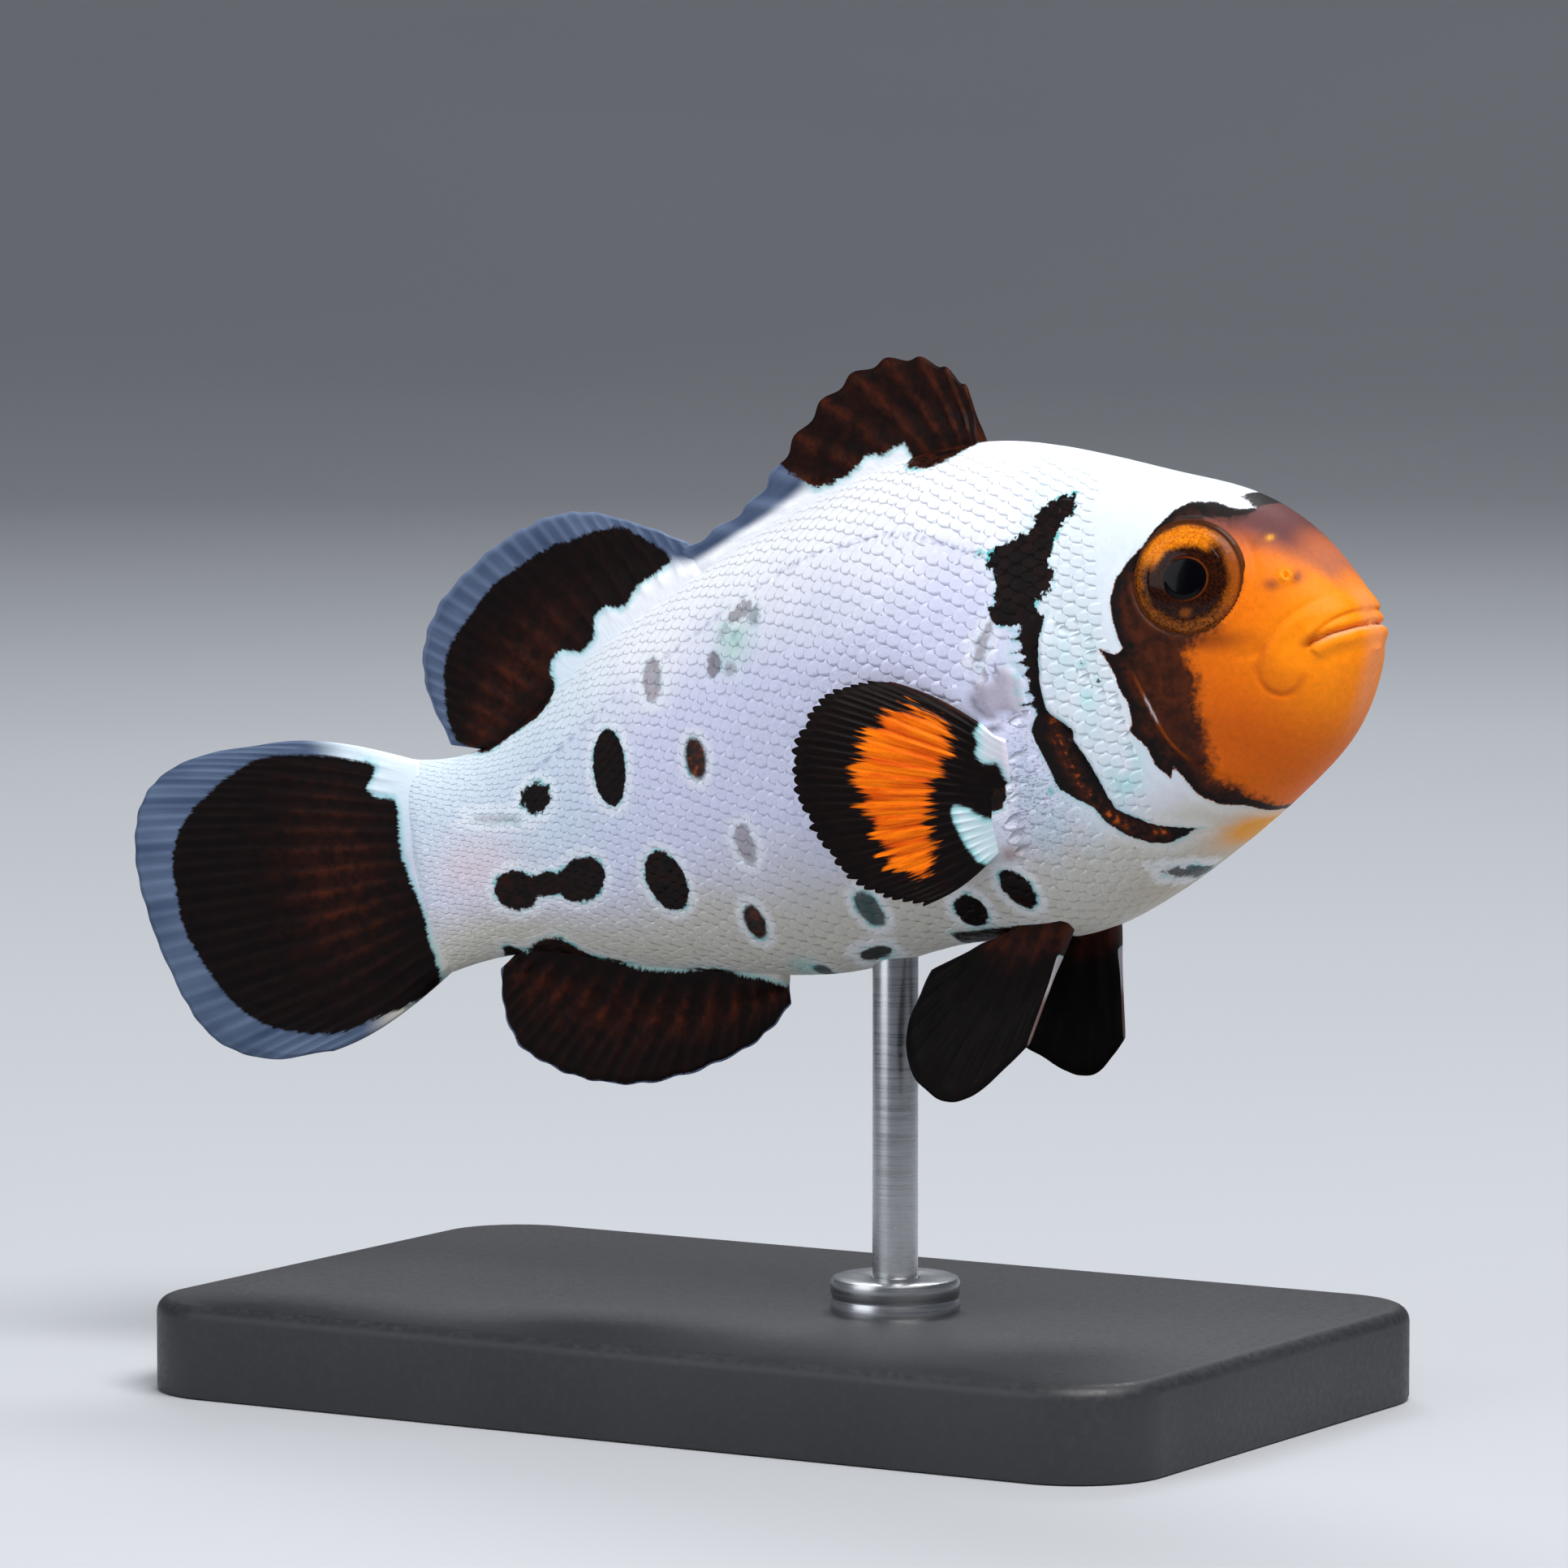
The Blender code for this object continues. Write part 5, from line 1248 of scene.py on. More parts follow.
def build_median_fins():
    out = []

    def ray_fin(name, table, edge_line, rays, **kw):
        r = np.array(table)
        k = np.linspace(0, 1, len(r))
        rooted = lambda t: np.stack([spline(t, k, r[:, 0]), 0 * t, edge_line(spline(t, k, r[:, 0]))], -1)
        tipped = lambda t: np.stack([spline(t, k, r[:, 1]), 0 * t, spline(t, k, r[:, 2])], -1)
        got = fin_grid(rooted, tipped, rays, **kw)
        return add_fin(name + "_web", got, name, kw_extra[name])

    def spiny(points, info):
        e = median_extra(points, info)
        e["rust"] = 0.42 + 0.4 * info["web"]
        return e

    def anal(points, info):
        e = median_extra(points, info)
        e["rust"] = 0.15 + 0.9 * bell(info["out"] - 0.42, 0.22) * (0.4 + 0.6 * info["web"])
        thin = smooth(info["edge"], 0.22, 0.08)
        e["ink"] = np.minimum(e["ink"], 0.6 - 0.75 * thin)
        return e

    def soft(points, info):
        e = median_extra(points, info)
        e["rust"] = 0.12 + 0.75 * bell(info["out"] - 0.25, 0.2) * smooth(points[:, 0], 44, 50)
        return e

    kw_extra = {"dorsal_fin_spiny": spiny, "dorsal_fin_soft": soft, "anal_fin": anal}
    wob = lambda ripple: (lambda u, v: ripple * v * v * np.sin(2 * math.pi * (1.3 * u + 0.1)))
    out.append(ray_fin("dorsal_fin_spiny", SPINY_LEAN, back_line, 11, per_ray=20, steps=44, deep=0.30,
                       root_half=0.55, edge_half=0.14, ridge=0.10, notch=0.34, branch=False, lift=wob(0.15), seed=51))
    out.append(ray_fin("dorsal_fin_soft", SOFT_FIN, back_line, 15, per_ray=16, steps=44, deep=0.25,
                       root_half=0.60, edge_half=0.13, ridge=0.07, notch=0.10, lift=wob(0.25), seed=52, fray=0.08))
    out.append(ray_fin("anal_fin", ANAL_FIN, belly_line, 14, per_ray=16, steps=44, deep=0.30,
                       root_half=0.60, edge_half=0.13, ridge=0.07, notch=0.10, lift=wob(0.20), seed=53, fray=0.08))

    r = np.array(TAIL_FIN)
    k = np.linspace(0, 1, len(r))
    rooted = lambda t: np.stack([np.full_like(t, STALK_END - 0.4), 0 * t, spline(t, k, r[:, 0]) * 1.02], -1)
    tipped = lambda t: np.stack([spline(t, k, r[:, 1]), 0 * t, spline(t, k, r[:, 2])], -1)
    lift = lambda u, v: 0.25 * v * v * np.sin(2 * math.pi * (1.2 * u + 0.2))
    body = lambda u: 0.20 + 1.12 * np.sqrt(np.maximum(1 - (2 * u - 1) ** 2, 0.0))

    def tail(points, info):
        e = median_extra(points, info)
        e["veil"] = smooth(points[:, 0] + 0.4 * info["sides"], 60.5, 63.5)
        s, _, z = points.T
        slate = np.array(linear(58, 74, 102))
        light = np.array(linear(120, 138, 166))
        n = value_noise(np.stack([info["ray"] * 1.5, info["out"] * 6], 1), 1.0, 45)
        tint = slate + (light - slate) * np.clip(0.25 + 0.5 * info["web"] + 0.3 * n, 0, 1)[:, None] * 0.65
        pale = pale_colour(np.stack([np.minimum(s, 57), points[:, 1], z], 1))
        e["pale"] = pale * (1 - e["veil"][:, None]) + tint * e["veil"][:, None]
        e["rust"] = 0.08 + 0.95 * bell(s - 62.6, 2.7) * bell(z + 0.5, 4.2) * (0.65 + 0.35 * info["web"])
        e["fringe"] = 0.5 * smooth(s, 61, 59)
        return e

    got = fin_grid(rooted, tipped, 17, per_ray=16, steps=60, deep=0.05, root_half=body, edge_half=0.14,
                   ridge=0.065, notch=0.06, bow=0.45, lift=lift, seed=54, fray=0.06, trim=0.10)
    out.append(add_fin("caudal_fin_web", got, "caudal_fin", tail))
    return out


def build_paired_fins():
    out = []
    for side, sign in (("right", -1), ("left", 1)):
        (s0, z0), (s1, z1) = PECTORAL_ROOT

        def rooted(t, sign=sign):
            s, z = s0 + (s1 - s0) * t, z0 + (z1 - z0) * t
            s = s + 0.35 * np.sin(math.pi * t)
            return np.stack([s, sign * (side_y(s, z) + 0.12), z], -1)

        angle = math.radians(PECTORAL_SPREAD_DEG[side])
        tips = curve(PECTORAL_FIN)

        def tipped(t, sign=sign, angle=angle):
            p = tips(t)
            return np.stack([PECTORAL_HINGE[0] + p[..., 0] * math.cos(angle),
                             sign * (PECTORAL_HINGE[1] + p[..., 0] * math.sin(angle)), PECTORAL_HINGE[2] + p[..., 1]], -1)

        cup = lambda u, v, sign=sign: sign * 0.45 * np.sin(math.pi * np.clip(v, 0, 1)) * np.sin(math.pi * u)
        got = fin_grid(rooted, tipped, 19, per_ray=16, steps=56, deep=0.12, root_half=0.34, edge_half=0.12,
                       ridge=0.055, notch=0.34, bow=0.35, lift=cup, seed=61, fray=0.20, teeth=2)

        def colours(points, info, sign=sign, angle=angle, side=side):
            # place in the fin's own sheet
            ds = points[:, 0] - PECTORAL_HINGE[0]
            dy = sign * points[:, 1] - PECTORAL_HINGE[1]
            f = np.stack([ds * math.cos(angle) + dy * math.sin(angle), points[:, 2] - PECTORAL_HINGE[2]], 1)
            glow = inside(f, rounded(PECTORAL_GLOW, 4), 3.0)
            glow = np.minimum(glow, 3.0)
            pale_in = inside(f, rounded(PECTORAL_PALE[0], 4), 3.0)
            n = value_noise(points, 0.8, 62)
            pale = layered(linear(206, 224, 232), [
                (linear(168, 208, 212), 0.30 + 0.4 * n), (linear(226, 222, 236), smooth(f[:, 0], -0.8, -2.4))])
            lead = bell(info["sides"], 0.5) * (info["ray"] < 3) * smooth(info["out"], 0.15, 0.35)
            return {"ink": -pale_in, "glow": glow, "pale": pale, "rust": 0.08 + 0.75 * lead,
                    "strength": np.ones(len(points))}

        out.append(add_fin("pectoral_fin_" + side + "_web", got, "pectoral_fin_" + side, colours))

        rays = np.array(PELVIC_FIN[side])
        kk = np.linspace(0, 1, len(rays))

        def pelvic_root(t, sign=sign, rays=rays, kk=kk):
            s = spline(t, kk, rays[:, 0])
            level = belly_line(s) + 0.25
            return np.stack([s, np.full_like(s, sign * PELVIC_ROOT_Y), level], -1)

        def pelvic_tip(t, sign=sign, rays=rays, kk=kk):
            s, z = spline(t, kk, rays[:, 1]), spline(t, kk, rays[:, 2])
            return np.stack([s, sign * (PELVIC_ROOT_Y + PELVIC_FLARE * (-12 - z)), z], -1)

        got = fin_grid(pelvic_root, pelvic_tip, 6, per_ray=30, steps=46, deep=0.16, root_half=0.70, edge_half=0.14,
                       ridge=0.07, notch=0.06, seed=71, fray=0.12)

        def dark(points, info):
            lead = smooth(info["ray"], 0.07, 0.02) * smooth(info["out"], 0.12, 0.3)
            return {"ink": 1.0 - 2.4 * lead, "glow": np.full(len(points), -3.0),
                    "pale": np.tile(linear(120, 92, 88), (len(points), 1)),
                    "rust": 0.04 + 0.9 * smooth(info["out"], 0.26, 0.0), "strength": np.ones(len(points))}

        out.append(add_fin("pelvic_fin_" + side + "_web", got, "pelvic_fin_" + side, dark))
    return out


# ---------------------------------------------------------------- the stand
def spun(name, profile, centre, count=96):
    """A turned piece from (radius, height) points in mm, closed at both ends."""
    a = np.linspace(0, 2 * math.pi, count, endpoint=False)
    pts = [(centre[0] + r * math.cos(t), centre[1] + r * math.sin(t), h) for r, h in profile for t in a]
    n = len(profile)
    i = np.arange(count)
    j = (i + 1) % count
    quads = np.concatenate([np.stack([k * count + i, k * count + j, (k + 1) * count + j, (k + 1) * count + i], 1)
                            for k in range(n - 1)])
    tris = triangles(quads)
    low, high = len(pts), len(pts) + 1
    pts += [(centre[0], centre[1], profile[0][1]), (centre[0], centre[1], profile[-1][1])]
    tris = np.concatenate([tris, np.stack([np.full(count, low), j, i], 1),
                           np.stack([np.full(count, high), (n - 1) * count + i, (n - 1) * count + j], 1)])
    obj = new_object(name, np.array(pts) * 0.001, tris)
    obj.data.set_sharp_from_angle(angle=math.radians(32))
    return obj


def build_stand():
    low, high = (np.array(v) * 1000 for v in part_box("stand_base"))
    size = high - low
    mid = (low + high) / 2
    work = bmesh.new()
    bmesh.ops.create_cube(work, size=1.0, matrix=Matrix.Translation((mid[0], mid[1], mid[2]))
                          @ Matrix.Diagonal((size[0], size[1], size[2], 1.0)))
    upright = [e for e in work.edges if abs(e.verts[0].co.z - e.verts[1].co.z) > size[2] / 2]
    bmesh.ops.bevel(work, geom=upright, offset=5.0, segments=18, profile=0.5, affect="EDGES")
    rim = [e for e in work.edges if min(v.co.z for v in e.verts) > high[2] - 1e-3 and not e.is_wire
           and any(abs(f.normal.z) < 0.5 for f in e.link_faces)]
    bmesh.ops.bevel(work, geom=rim, offset=0.8, segments=6, profile=0.5, affect="EDGES")
    foot = [e for e in work.edges if max(v.co.z for v in e.verts) < low[2] + 1e-3
            and any(abs(f.normal.z) < 0.5 for f in e.link_faces)]
    bmesh.ops.bevel(work, geom=foot, offset=0.25, segments=2, profile=0.5, affect="EDGES")
    bmesh.ops.scale(work, vec=(0.001, 0.001, 0.001), verts=work.verts)
    data = bpy.data.meshes.new("stand_plinth")
    work.to_mesh(data)
    work.free()
    base = bpy.data.objects.new("stand_plinth", data)
    bpy.context.scene.collection.objects.link(base)
    data.polygons.foreach_set("use_smooth", np.ones(len(data.polygons), bool))
    data.set_sharp_from_angle(angle=math.radians(25))

    rl, rh = (np.array(v) * 1000 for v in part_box("stand_rod"))
    rad = (rh[0] - rl[0]) / 2
    at = ((rl[0] + rh[0]) / 2, (rl[1] + rh[1]) / 2)
    rod = spun("stand_pin", [(rad - 0.2, rl[2]), (rad, rl[2] + 0.2), (rad, rh[2] - 0.5), (rad * 0.85, rh[2] - 0.12),
                             (rad * 0.5, rh[2])], at)
    cl, ch = (np.array(v) * 1000 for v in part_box("stand_collar"))
    cr = (ch[0] - cl[0]) / 2
    top, bottom = ch[2], cl[2] - GAP
    collar = spun("stand_ring", [(rad + 0.02, bottom), (cr, bottom), (cr, bottom + 0.5), (cr - 0.07, bottom + 0.62),
                                 (cr - 0.07, bottom + 0.75), (cr, bottom + 0.87), (cr, top - 0.3), (cr - 0.09, top - 0.09),
                                 (cr - 0.3, top), (rad + 0.35, top), (rad + 0.12, top - 0.12), (rad + 0.02, top - 0.3)], at)
    return base, rod, collar


# =============================================================== materials
class Nodes:
    """Short names for the nodes that the materials use."""

    def __init__(self, name):
        self.m = bpy.data.materials.new(name)
        self.m.use_nodes = True
        self.t = self.m.node_tree
        self.shader = self.t.nodes["Principled BSDF"]

    def put(self, value, socket):
        if hasattr(value, "is_output"):
            self.t.links.new(value, socket)
        else:
            if hasattr(socket.default_value, "__len__") and not hasattr(value, "__len__"):
                value = (value,) * len(socket.default_value)
            if hasattr(value, "__len__") and len(value) == 3 and len(socket.default_value) == 4:
                value = (*value, 1.0)
            socket.default_value = value

    def attribute(self, name, out="Fac"):
        n = self.t.nodes.new("ShaderNodeAttribute")
        n.attribute_name = name
        return n.outputs[out]

    def math(self, kind, a, b=0.0, c=0.0, clamp=False):
        n = self.t.nodes.new("ShaderNodeMath")
        n.operation, n.use_clamp = kind, clamp
        for value, socket in zip((a, b, c), n.inputs):
            self.put(value, socket)
        return n.outputs[0]

    def add(self, a, b):
        return self.math("ADD", a, b)

    def mul(self, a, b):
        return self.math("MULTIPLY", a, b)

    def ramp(self, x, low, high, to0=0.0, to1=1.0, kind="SMOOTHSTEP"):
        n = self.t.nodes.new("ShaderNodeMapRange")
        n.interpolation_type = kind
        for value, key in ((x, "Value"), (low, "From Min"), (high, "From Max"), (to0, "To Min"), (to1, "To Max")):
            self.put(value, n.inputs[key])
        return n.outputs["Result"]

    def mix(self, fac, a, b, kind="MIX"):
        n = self.t.nodes.new("ShaderNodeMix")
        n.data_type, n.blend_type = "RGBA", kind
        self.put(fac, n.inputs[0])
        self.put(a, n.inputs[6])
        self.put(b, n.inputs[7])
        return n.outputs[2]

    def noise(self, vector, scale, detail=3.0, rough=0.55, out="Fac"):
        n = self.t.nodes.new("ShaderNodeTexNoise")
        n.inputs["Scale"].default_value = scale
        n.inputs["Detail"].default_value = detail
        n.inputs["Roughness"].default_value = rough
        self.put(vector, n.inputs["Vector"])
        return n.outputs[out]

    def cells(self, vector, scale, feature="F1"):
        n = self.t.nodes.new("ShaderNodeTexVoronoi")
        n.feature = feature
        n.inputs["Scale"].default_value = scale
        self.put(vector, n.inputs["Vector"])
        return n.outputs["Distance"]

    def vector(self, x, y, z=0.0):
        n = self.t.nodes.new("ShaderNodeCombineXYZ")
        for value, socket in zip((x, y, z), n.inputs):
            self.put(value, socket)
        return n.outputs[0]

    def split(self, vector):
        n = self.t.nodes.new("ShaderNodeSeparateXYZ")
        self.put(vector, n.inputs[0])
        return n.outputs

    def stretched(self, vector, scale):
        n = self.t.nodes.new("ShaderNodeMapping")
        n.inputs["Scale"].default_value = scale
        self.put(vector, n.inputs["Vector"])
        return n.outputs[0]

    def bump(self, height, strength, distance):
        n = self.t.nodes.new("ShaderNodeBump")
        n.inputs["Strength"].default_value = strength
        n.inputs["Distance"].default_value = distance
        self.put(height, n.inputs["Height"])
        self.t.links.new(n.outputs[0], self.shader.inputs["Normal"])

    def set(self, **values):
        for key, value in values.items():
            self.put(value, self.shader.inputs[key.replace("_", " ")])


BLACK = linear(5, 3, 4)
RUST = linear(70, 27, 9)
TEAL = linear(96, 196, 200)
MILK = linear(244, 248, 255)


def skin_material(name, scales=False):
    n = Nodes(name)
    rest = n.attribute("rest", "Vector")
    fine = n.noise(rest, 2.6, 4.0, 0.6)
    grain = n.noise(rest, 11.0, 3.0, 0.6)
    patch = n.noise(rest, 0.9, 3.0)
    # the ragged edge of the dark marks
    push = n.mul(n.attribute("rag"), n.math("MULTIPLY_ADD", fine, 4.0, -2.0))
    wisp = n.math("MULTIPLY_ADD", grain, 0.20, -0.10)
    ink = n.add(n.add(n.attribute("ink"), push), wisp)
    soft = n.attribute("soft")
    dark = n.mul(n.ramp(ink, n.mul(soft, -1.0), soft), n.attribute("strength"))
    # the pale skin: mottled, with a teal fringe and a bright ring round the marks
    shade = n.math("MULTIPLY_ADD", fine, 0.16, 0.92)
    speck = n.math("MULTIPLY_ADD", grain, 0.12, 0.94)
    pale = n.mix(1.0, n.attribute("pale", "Color"), n.vector(n.mul(shade, speck), n.mul(shade, speck), n.math("MULTIPLY_ADD", shade, 0.85, 0.15)), "MULTIPLY")
    ring = n.mul(n.ramp(ink, -0.75, -0.30), n.mul(n.attribute("halo"), 0.55))
    pale = n.mix(ring, pale, MILK)
    fringe = n.mul(n.mul(n.ramp(ink, -0.26, -0.06), n.attribute("fringe")), n.ramp(patch, 0.44, 0.64, 0.15, 0.85))
    pale = n.mix(fringe, pale, TEAL)
    strokes = n.ramp(n.noise(n.stretched(rest, (5.0, 5.0, 11.0)), 1.0, 2.0, 0.6), 0.52, 0.66)
    pale = n.mix(n.mul(n.mul(strokes, n.attribute("dash")), 0.80), pale, linear(120, 122, 158))
    if scales:
        tone = n.attribute("tone")
        pale = n.mix(1.0, pale, n.math("MULTIPLY_ADD", tone, 0.012, 0.99), "MULTIPLY")
        pale = n.mix(n.mul(n.attribute("rim"), 0.06), pale, MILK)
    # the face
    glow = n.math("MULTIPLY_ADD", n.noise(rest, 3.0, 4.0, 0.65), 0.40, 0.82)
    pepper = n.math("MULTIPLY_ADD", n.noise(rest, 16.0, 2.0, 0.7), 0.40, 0.80)
    wave = n.ramp(n.math("ABSOLUTE", n.math("SUBTRACT", n.noise(n.stretched(rest, (1.3, 1.3, 0.7)), 1.0, 2.0, 0.5), 0.5)), 0.0, 0.035, 0.965, 1.0)
    warm = n.mix(1.0, n.attribute("warm", "Color"), n.mul(n.mul(glow, pepper), wave), "MULTIPLY")
    zone = n.ramp(n.add(n.attribute("face"), n.add(n.mul(push, 0.5), wisp)), -0.04, 0.04)
    flesh = n.mix(zone, pale, warm)
    # the dark
    ember = n.mul(n.attribute("rust"), n.ramp(n.noise(rest, 1.6, 4.0, 0.65), 0.34, 0.66))
    black = n.mix(n.math("MINIMUM", ember, 1.0), BLACK, RUST)
    black = n.mix(n.ramp(ember, 0.80, 1.9), black, linear(206, 92, 14))
    faint = n.mul(n.ramp(n.attribute("strength"), 0.90, 0.62), n.ramp(n.attribute("face"), 0.3, -0.3))
    black = n.mix(faint, black, n.mix(n.ramp(fine, 0.4, 0.6), linear(92, 60, 66), linear(124, 104, 122)))
    colour = n.mix(dark, flesh, black)
    n.set(Base_Color=colour)
    n.put(n.ramp(grain, 0.3, 0.7, 0.42, 0.58), n.shader.inputs["Roughness"])
    n.set(IOR=1.42, Specular_IOR_Level=0.19)
    pebble = n.add(n.mul(n.cells(rest, 6.5), 0.4), n.mul(grain, 0.6))
    pebble = n.add(pebble, n.mul(n.mul(strokes, n.attribute("dash")), 0.8))
    if not scales:            # the scales have their relief in the mesh
        n.bump(pebble, 0.20, 0.00003)
    return n.m


def fin_material(name, paired=False):
    n = Nodes(name)
    rest = n.attribute("rest", "Vector")
    ray, out = n.attribute("ray"), n.attribute("out")
    web = n.attribute("web")
    streak = n.noise(n.vector(n.mul(ray, 1.7), n.mul(out, 2.2), 0.0), 1.0, 3.0, 0.65)
    hair = n.noise(n.vector(n.mul(ray, 9.0), n.mul(out, 5.0), 3.0), 1.0, 3.0, 0.6)
    fine = n.noise(rest, 2.6, 4.0, 0.6)
    grain = n.noise(rest, 12.0, 3.0, 0.6)
    rag = n.attribute("rag") if not paired else 0.05
    push = n.add(n.mul(n.math("MULTIPLY_ADD", fine, 4.0, -2.0), rag), n.math("MULTIPLY_ADD", hair, 0.5, -0.25))
    ink = n.add(n.attribute("ink"), push)
    dark = n.ramp(ink, -0.10, 0.10)
    tone = n.math("MULTIPLY_ADD", hair, 0.35, 0.82)
    pale = n.mix(1.0, n.attribute("pale", "Color"), tone, "MULTIPLY")
    if paired:
        pale = n.mix(n.ramp(web, 0.3, 0.9, 0.0, 0.35), pale, MILK)
        fringe = n.ramp(ink, -0.34, -0.05, 0.0, 0.5)
    else:
        fringe = n.mul(n.ramp(ink, -0.4, -0.05), n.attribute("fringe"))
    pale = n.mix(fringe, pale, TEAL)
    ember = n.mul(n.attribute("rust"), n.mul(n.ramp(hair, 0.30, 0.70, 0.55, 1.0), n.ramp(n.noise(rest, 1.4, 4.0, 0.65), 0.32, 0.66, 0.2, 1.0)))
    black = n.mix(ember, BLACK, RUST)
    black = n.mix(1.0, black, n.math("MULTIPLY_ADD", web, 0.6, 0.75), "MULTIPLY")
    if paired:
        # the fiery band, its two borders drawn out along the rays
        lick = n.math("MULTIPLY_ADD", streak, 3.4, -1.7)
        band = n.add(n.add(n.attribute("glow"), lick), n.math("MULTIPLY_ADD", hair, 0.9, -0.45))
        fire = n.mix(n.ramp(streak, 0.35, 0.65), linear(206, 74, 2), linear(250, 122, 6))
        fire = n.mix(1.0, fire, n.math("MULTIPLY_ADD", grain, 0.5, 0.75), "MULTIPLY")
        seam = n.ramp(n.math("ABSOLUTE", n.math("SUBTRACT", n.math("FRACT", ray), 0.5)), 0.02, 0.12, 0.72, 1.0)
        fire = n.mix(1.0, fire, seam, "MULTIPLY")
        black = n.mix(n.ramp(band, -0.22, 0.30), black, fire)
    colour = n.mix(dark, pale, black)
    n.set(Base_Color=colour)
    n.put(n.ramp(hair, 0.3, 0.7, 0.42, 0.60), n.shader.inputs["Roughness"])
    n.set(IOR=1.42, Specular_IOR_Level=0.12)
    n.bump(n.add(n.mul(hair, 0.6), n.mul(grain, 0.4)), 0.25, 0.00004)
    return n.m


def eye_material():
    n = Nodes("eye_finish")
    eye = n.attribute("eye", "Vector")
    x, y, z = n.split(eye)
    r = n.math("SQRT", n.add(n.mul(x, x), n.mul(y, y)))
    angle = n.math("ARCTAN2", y, x)
    radial = n.noise(n.vector(n.mul(angle, 5.0), n.mul(r, 1.5), 0.0), 1.4, 4.0, 0.65)
    fleck = n.noise(eye, 7.0, 4.0, 0.75)
    dust = n.noise(eye, 22.0, 2.0, 0.6)
    mott = n.noise(eye, 1.5, 3.0, 0.6)
    rough_r = n.add(r, n.add(n.math("MULTIPLY_ADD", mott, 0.5, -0.25), n.math("MULTIPLY_ADD", dust, 0.5, -0.25)))
    # speckled outer ring, brightest low and behind, browner on top
    ring = n.mix(n.ramp(fleck, 0.36, 0.64), linear(60, 28, 8), linear(160, 86, 16))
    ring = n.mix(n.mul(n.ramp(n.add(x, y), 0.6, 2.6), 0.55), ring, linear(104, 52, 26))
    ring = n.mix(n.mul(n.ramp(n.add(x, n.mul(y, -0.2)), 1.5, 2.8), 0.5), ring, linear(176, 84, 8))
    # deep brown inside it
    deep = n.mix(n.ramp(fleck, 0.35, 0.68), linear(12, 5, 5), linear(58, 24, 8))
    colour = n.mix(n.ramp(rough_r, 2.00, 2.46), deep, ring)
    # bright crescent over the pupil
    over = n.math("SINE", n.add(angle, n.math("MULTIPLY_ADD", mott, 0.3, -0.25)))
    arc = n.mul(n.mul(n.ramp(rough_r, 1.46, 1.86), n.ramp(rough_r, 2.86, 2.45)), n.ramp(over, 0.38, 0.84))
    gold = n.mix(n.ramp(fleck, 0.34, 0.66), linear(196, 92, 6), linear(244, 146, 24))
    colour = n.mix(arc, colour, gold)
    # a brass spot under the pupil
    dx, dy = n.add(x, 0.27), n.add(y, 1.76)
    spot = n.ramp(n.math("SQRT", n.add(n.mul(n.mul(dx, dx), 0.7), n.mul(n.mul(dy, dy), 1.5))), 0.42, 0.08)
    colour = n.mix(n.mul(n.mul(spot, n.ramp(fleck, 0.3, 0.6, 0.5, 1.0)), 0.5), colour, linear(168, 90, 24))
    # the pupil, with copper on its edge
    px, py = n.math("DIVIDE", x, PUPIL_LONG), n.math("DIVIDE", n.add(y, 0.09), PUPIL)
    pr = n.math("SQRT", n.add(n.mul(px, px), n.mul(py, py)))
    copper = n.mul(n.ramp(pr, 0.98, 1.03), n.ramp(pr, 1.13, 1.04))
    colour = n.mix(n.mul(copper, n.ramp(x, -0.8, 1.0, 0.05, 0.5)), colour, linear(132, 58, 16))
    colour = n.mix(n.ramp(pr, 1.02, 0.98), colour, linear(3, 3, 6))
    colour = n.mix(n.mul(n.ramp(r, 2.66, 2.84), 0.8), colour, linear(50, 22, 10))
    n.set(Base_Color=colour)
    n.put(n.ramp(r, IRIS, 2.4, 0.14, 0.40), n.shader.inputs["Roughness"])
    n.set(IOR=1.42, Specular_IOR_Level=0.10, Coat_Weight=0.10, Coat_Roughness=0.06)
    n.bump(n.add(n.mul(radial, 0.4), n.mul(fleck, 0.6)), 0.10, 0.00003)
    return n.m


def plinth_material():
    n = Nodes("plinth_finish")
    where = n.t.nodes.new("ShaderNodeTexCoord").outputs["Object"]
    grain = n.noise(where, 2600.0, 3.0, 0.6)
    broad = n.noise(where, 60.0, 3.0, 0.5)
    colour = n.mix(n.ramp(broad, 0.35, 0.65), linear(34, 35, 38), linear(42, 43, 46))
    n.set(Base_Color=n.mix(n.ramp(grain, 0.4, 0.7, 0.0, 0.25), colour, linear(64, 65, 70)))
    n.put(n.ramp(grain, 0.3, 0.7, 0.42, 0.58), n.shader.inputs["Roughness"])
    n.bump(grain, 0.25, 0.00003)
    return n.m


def steel_material():
    n = Nodes("steel_finish")
    where = n.t.nodes.new("ShaderNodeTexCoord").outputs["Object"]
    lines = n.noise(n.stretched(where, (200.0, 200.0, 9000.0)), 1.0, 3.0, 0.6)
    n.set(Base_Color=n.mix(n.ramp(lines, 0.3, 0.7), linear(186, 188, 191), linear(204, 205, 208)))
    n.shader.inputs["Metallic"].default_value = 1.0
    n.put(n.ramp(lines, 0.3, 0.7, 0.26, 0.34), n.shader.inputs["Roughness"])
    n.bump(lines, 0.12, 0.00002)
    return n.m


def floor_material():
    n = Nodes("floor_finish")
    where = n.t.nodes.new("ShaderNodeTexCoord").outputs["Object"]
    broad = n.noise(where, 3.0, 3.0, 0.5)
    n.set(Base_Color=n.mix(n.ramp(broad, 0.3, 0.7), linear(182, 185, 191), linear(188, 191, 196)))
    n.shader.inputs["Roughness"].default_value = 0.75
    return n.m


def finish_with(obj, material):
    obj.data.materials.clear()
    obj.data.materials.append(material)


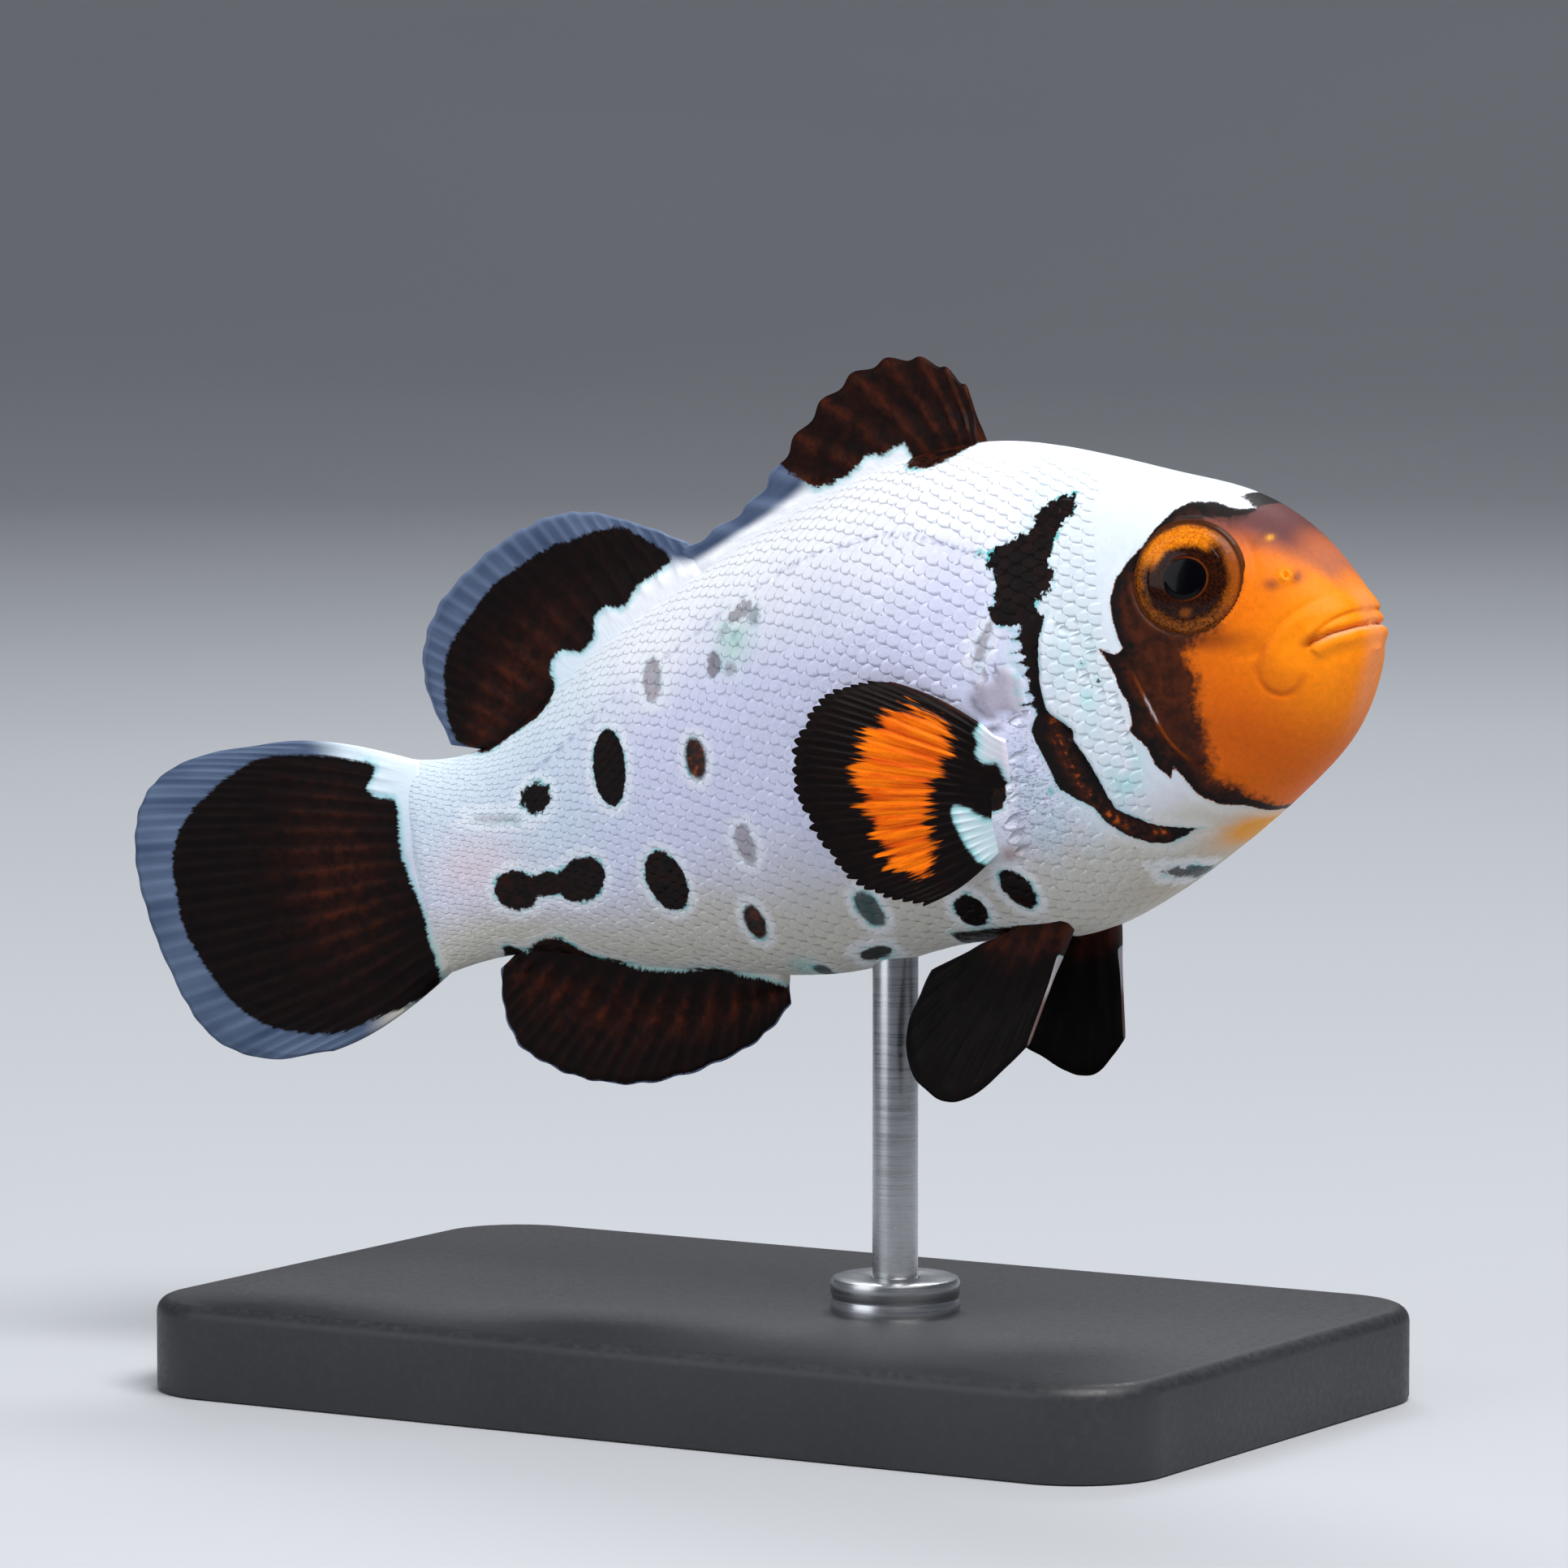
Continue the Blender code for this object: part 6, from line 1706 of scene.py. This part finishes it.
# ================================================================= assembly
skin, rest, grid, gn, st = build_skin()
dress(skin, rest)
finish_with(skin, skin_material("skin_finish"))
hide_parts("head", "lower_jaw", "gill_cover_right", "gill_cover_left", "trunk", "tail_stalk")
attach(skin, "root")

sampler = surface_sampler(grid, gn, st, rest)
scale_finish = skin_material("scale_finish", scales=True)
for side in ("right", "left"):
    for piece in build_scales(side, sampler, grid, st):
        finish_with(piece, scale_finish)
        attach(piece, "root")

eye_finish = eye_material()
for side in ("right", "left"):
    piece = build_eye(side)
    finish_with(piece, eye_finish)
    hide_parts("eye_" + side)
    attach(piece, "root")

median_finish, paired_finish = fin_material("fin_finish"), fin_material("paired_fin_finish", paired=True)
for piece in build_median_fins():
    finish_with(piece, median_finish)
    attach(piece, "root")
for piece in build_paired_fins():
    finish_with(piece, paired_finish)
    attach(piece, "root")

plinth, pin, ring = build_stand()
steel = steel_material()
for piece, node, look in ((plinth, "stand_base", plinth_material()), (pin, "stand_rod", steel), (ring, "stand_collar", steel)):
    finish_with(piece, look)
    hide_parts(node)
    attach(piece, "root")


# ==================================================================== stage
def build_floor():
    """A wide plain floor that sweeps up all round, far off."""
    profile = [(0.0, 0.0), (0.4, 0.0), (0.9, 0.0), (1.2, 0.02), (1.5, 0.12), (1.75, 0.32), (1.95, 0.65), (2.05, 1.1),
               (2.1, 1.8)]
    count = 96
    a = np.linspace(0, 2 * math.pi, count, endpoint=False)
    pts = [(0.0, 0.0, 0.0)] + [(r * math.cos(t), r * math.sin(t), h) for r, h in profile[1:] for t in a]
    faces = [(0, 1 + i, 1 + (i + 1) % count) for i in range(count)]
    for k in range(len(profile) - 2):
        for i in range(count):
            j = (i + 1) % count
            p = [1 + k * count + i, 1 + (k + 1) * count + i, 1 + (k + 1) * count + j, 1 + k * count + j]
            faces += [(p[0], p[1], p[2]), (p[0], p[2], p[3])]
    obj = new_object("floor", np.array(pts), np.array(faces))
    finish_with(obj, floor_material())
    return obj


build_floor()

AIM = SHIFT + np.array([-26.712, -13.606, -7.524])      # middle of the view
VIEW_AZIMUTH, VIEW_RISE, VIEW_DISTANCE = 31.0, 5.0, 419.3
az, el = math.radians(VIEW_AZIMUTH), math.radians(VIEW_RISE)
back = Vector((math.sin(az) * math.cos(el), -math.cos(az) * math.cos(el), math.sin(el)))
eye_data = bpy.data.cameras.new("camera")
eye_data.lens, eye_data.sensor_width, eye_data.clip_start, eye_data.clip_end = 190.0, 36.0, 0.01, 20.0
camera = bpy.data.objects.new("camera", eye_data)
camera.location = Vector(AIM * 0.001) + back * VIEW_DISTANCE * 0.001
camera.rotation_euler = back.to_track_quat("Z", "Y").to_euler()
bpy.context.scene.collection.objects.link(camera)
bpy.context.scene.camera = camera

centre = Vector(((CAD_BOX[0][0] + CAD_BOX[1][0]) / 2, (CAD_BOX[0][1] + CAD_BOX[1][1]) / 2, 0.035))


def softbox(name, azimuth, rise, distance, size, power, colour=(1, 1, 1)):
    a, e = math.radians(azimuth), math.radians(rise)
    way = Vector((math.sin(a) * math.cos(e), -math.cos(a) * math.cos(e), math.sin(e)))
    data = bpy.data.lights.new(name, "AREA")
    data.shape, data.size, data.size_y = "RECTANGLE", size[0], size[1]
    data.energy, data.color = power, colour
    lamp = bpy.data.objects.new(name, data)
    lamp.location = centre + way * distance
    lamp.rotation_euler = way.to_track_quat("Z", "Y").to_euler()
    bpy.context.scene.collection.objects.link(lamp)


softbox("key", 62, 58, 0.62, (0.42, 0.30), 4.9, (1.0, 0.985, 0.97))
softbox("fill", -30, 22, 0.75, (0.50, 0.40), 1.3, (0.93, 0.96, 1.0))
softbox("rim", 205, 48, 0.70, (0.40, 0.20), 2.0, (0.95, 0.97, 1.0))
bpy.context.scene.view_settings.view_transform = "Standard"
sky = bpy.data.worlds.new("studio")
sky.use_nodes = True
sky.node_tree.nodes["Background"].inputs["Color"].default_value = (0.80, 0.84, 0.90, 1.0)
sky.node_tree.nodes["Background"].inputs["Strength"].default_value = 0.30
bpy.context.scene.world = sky
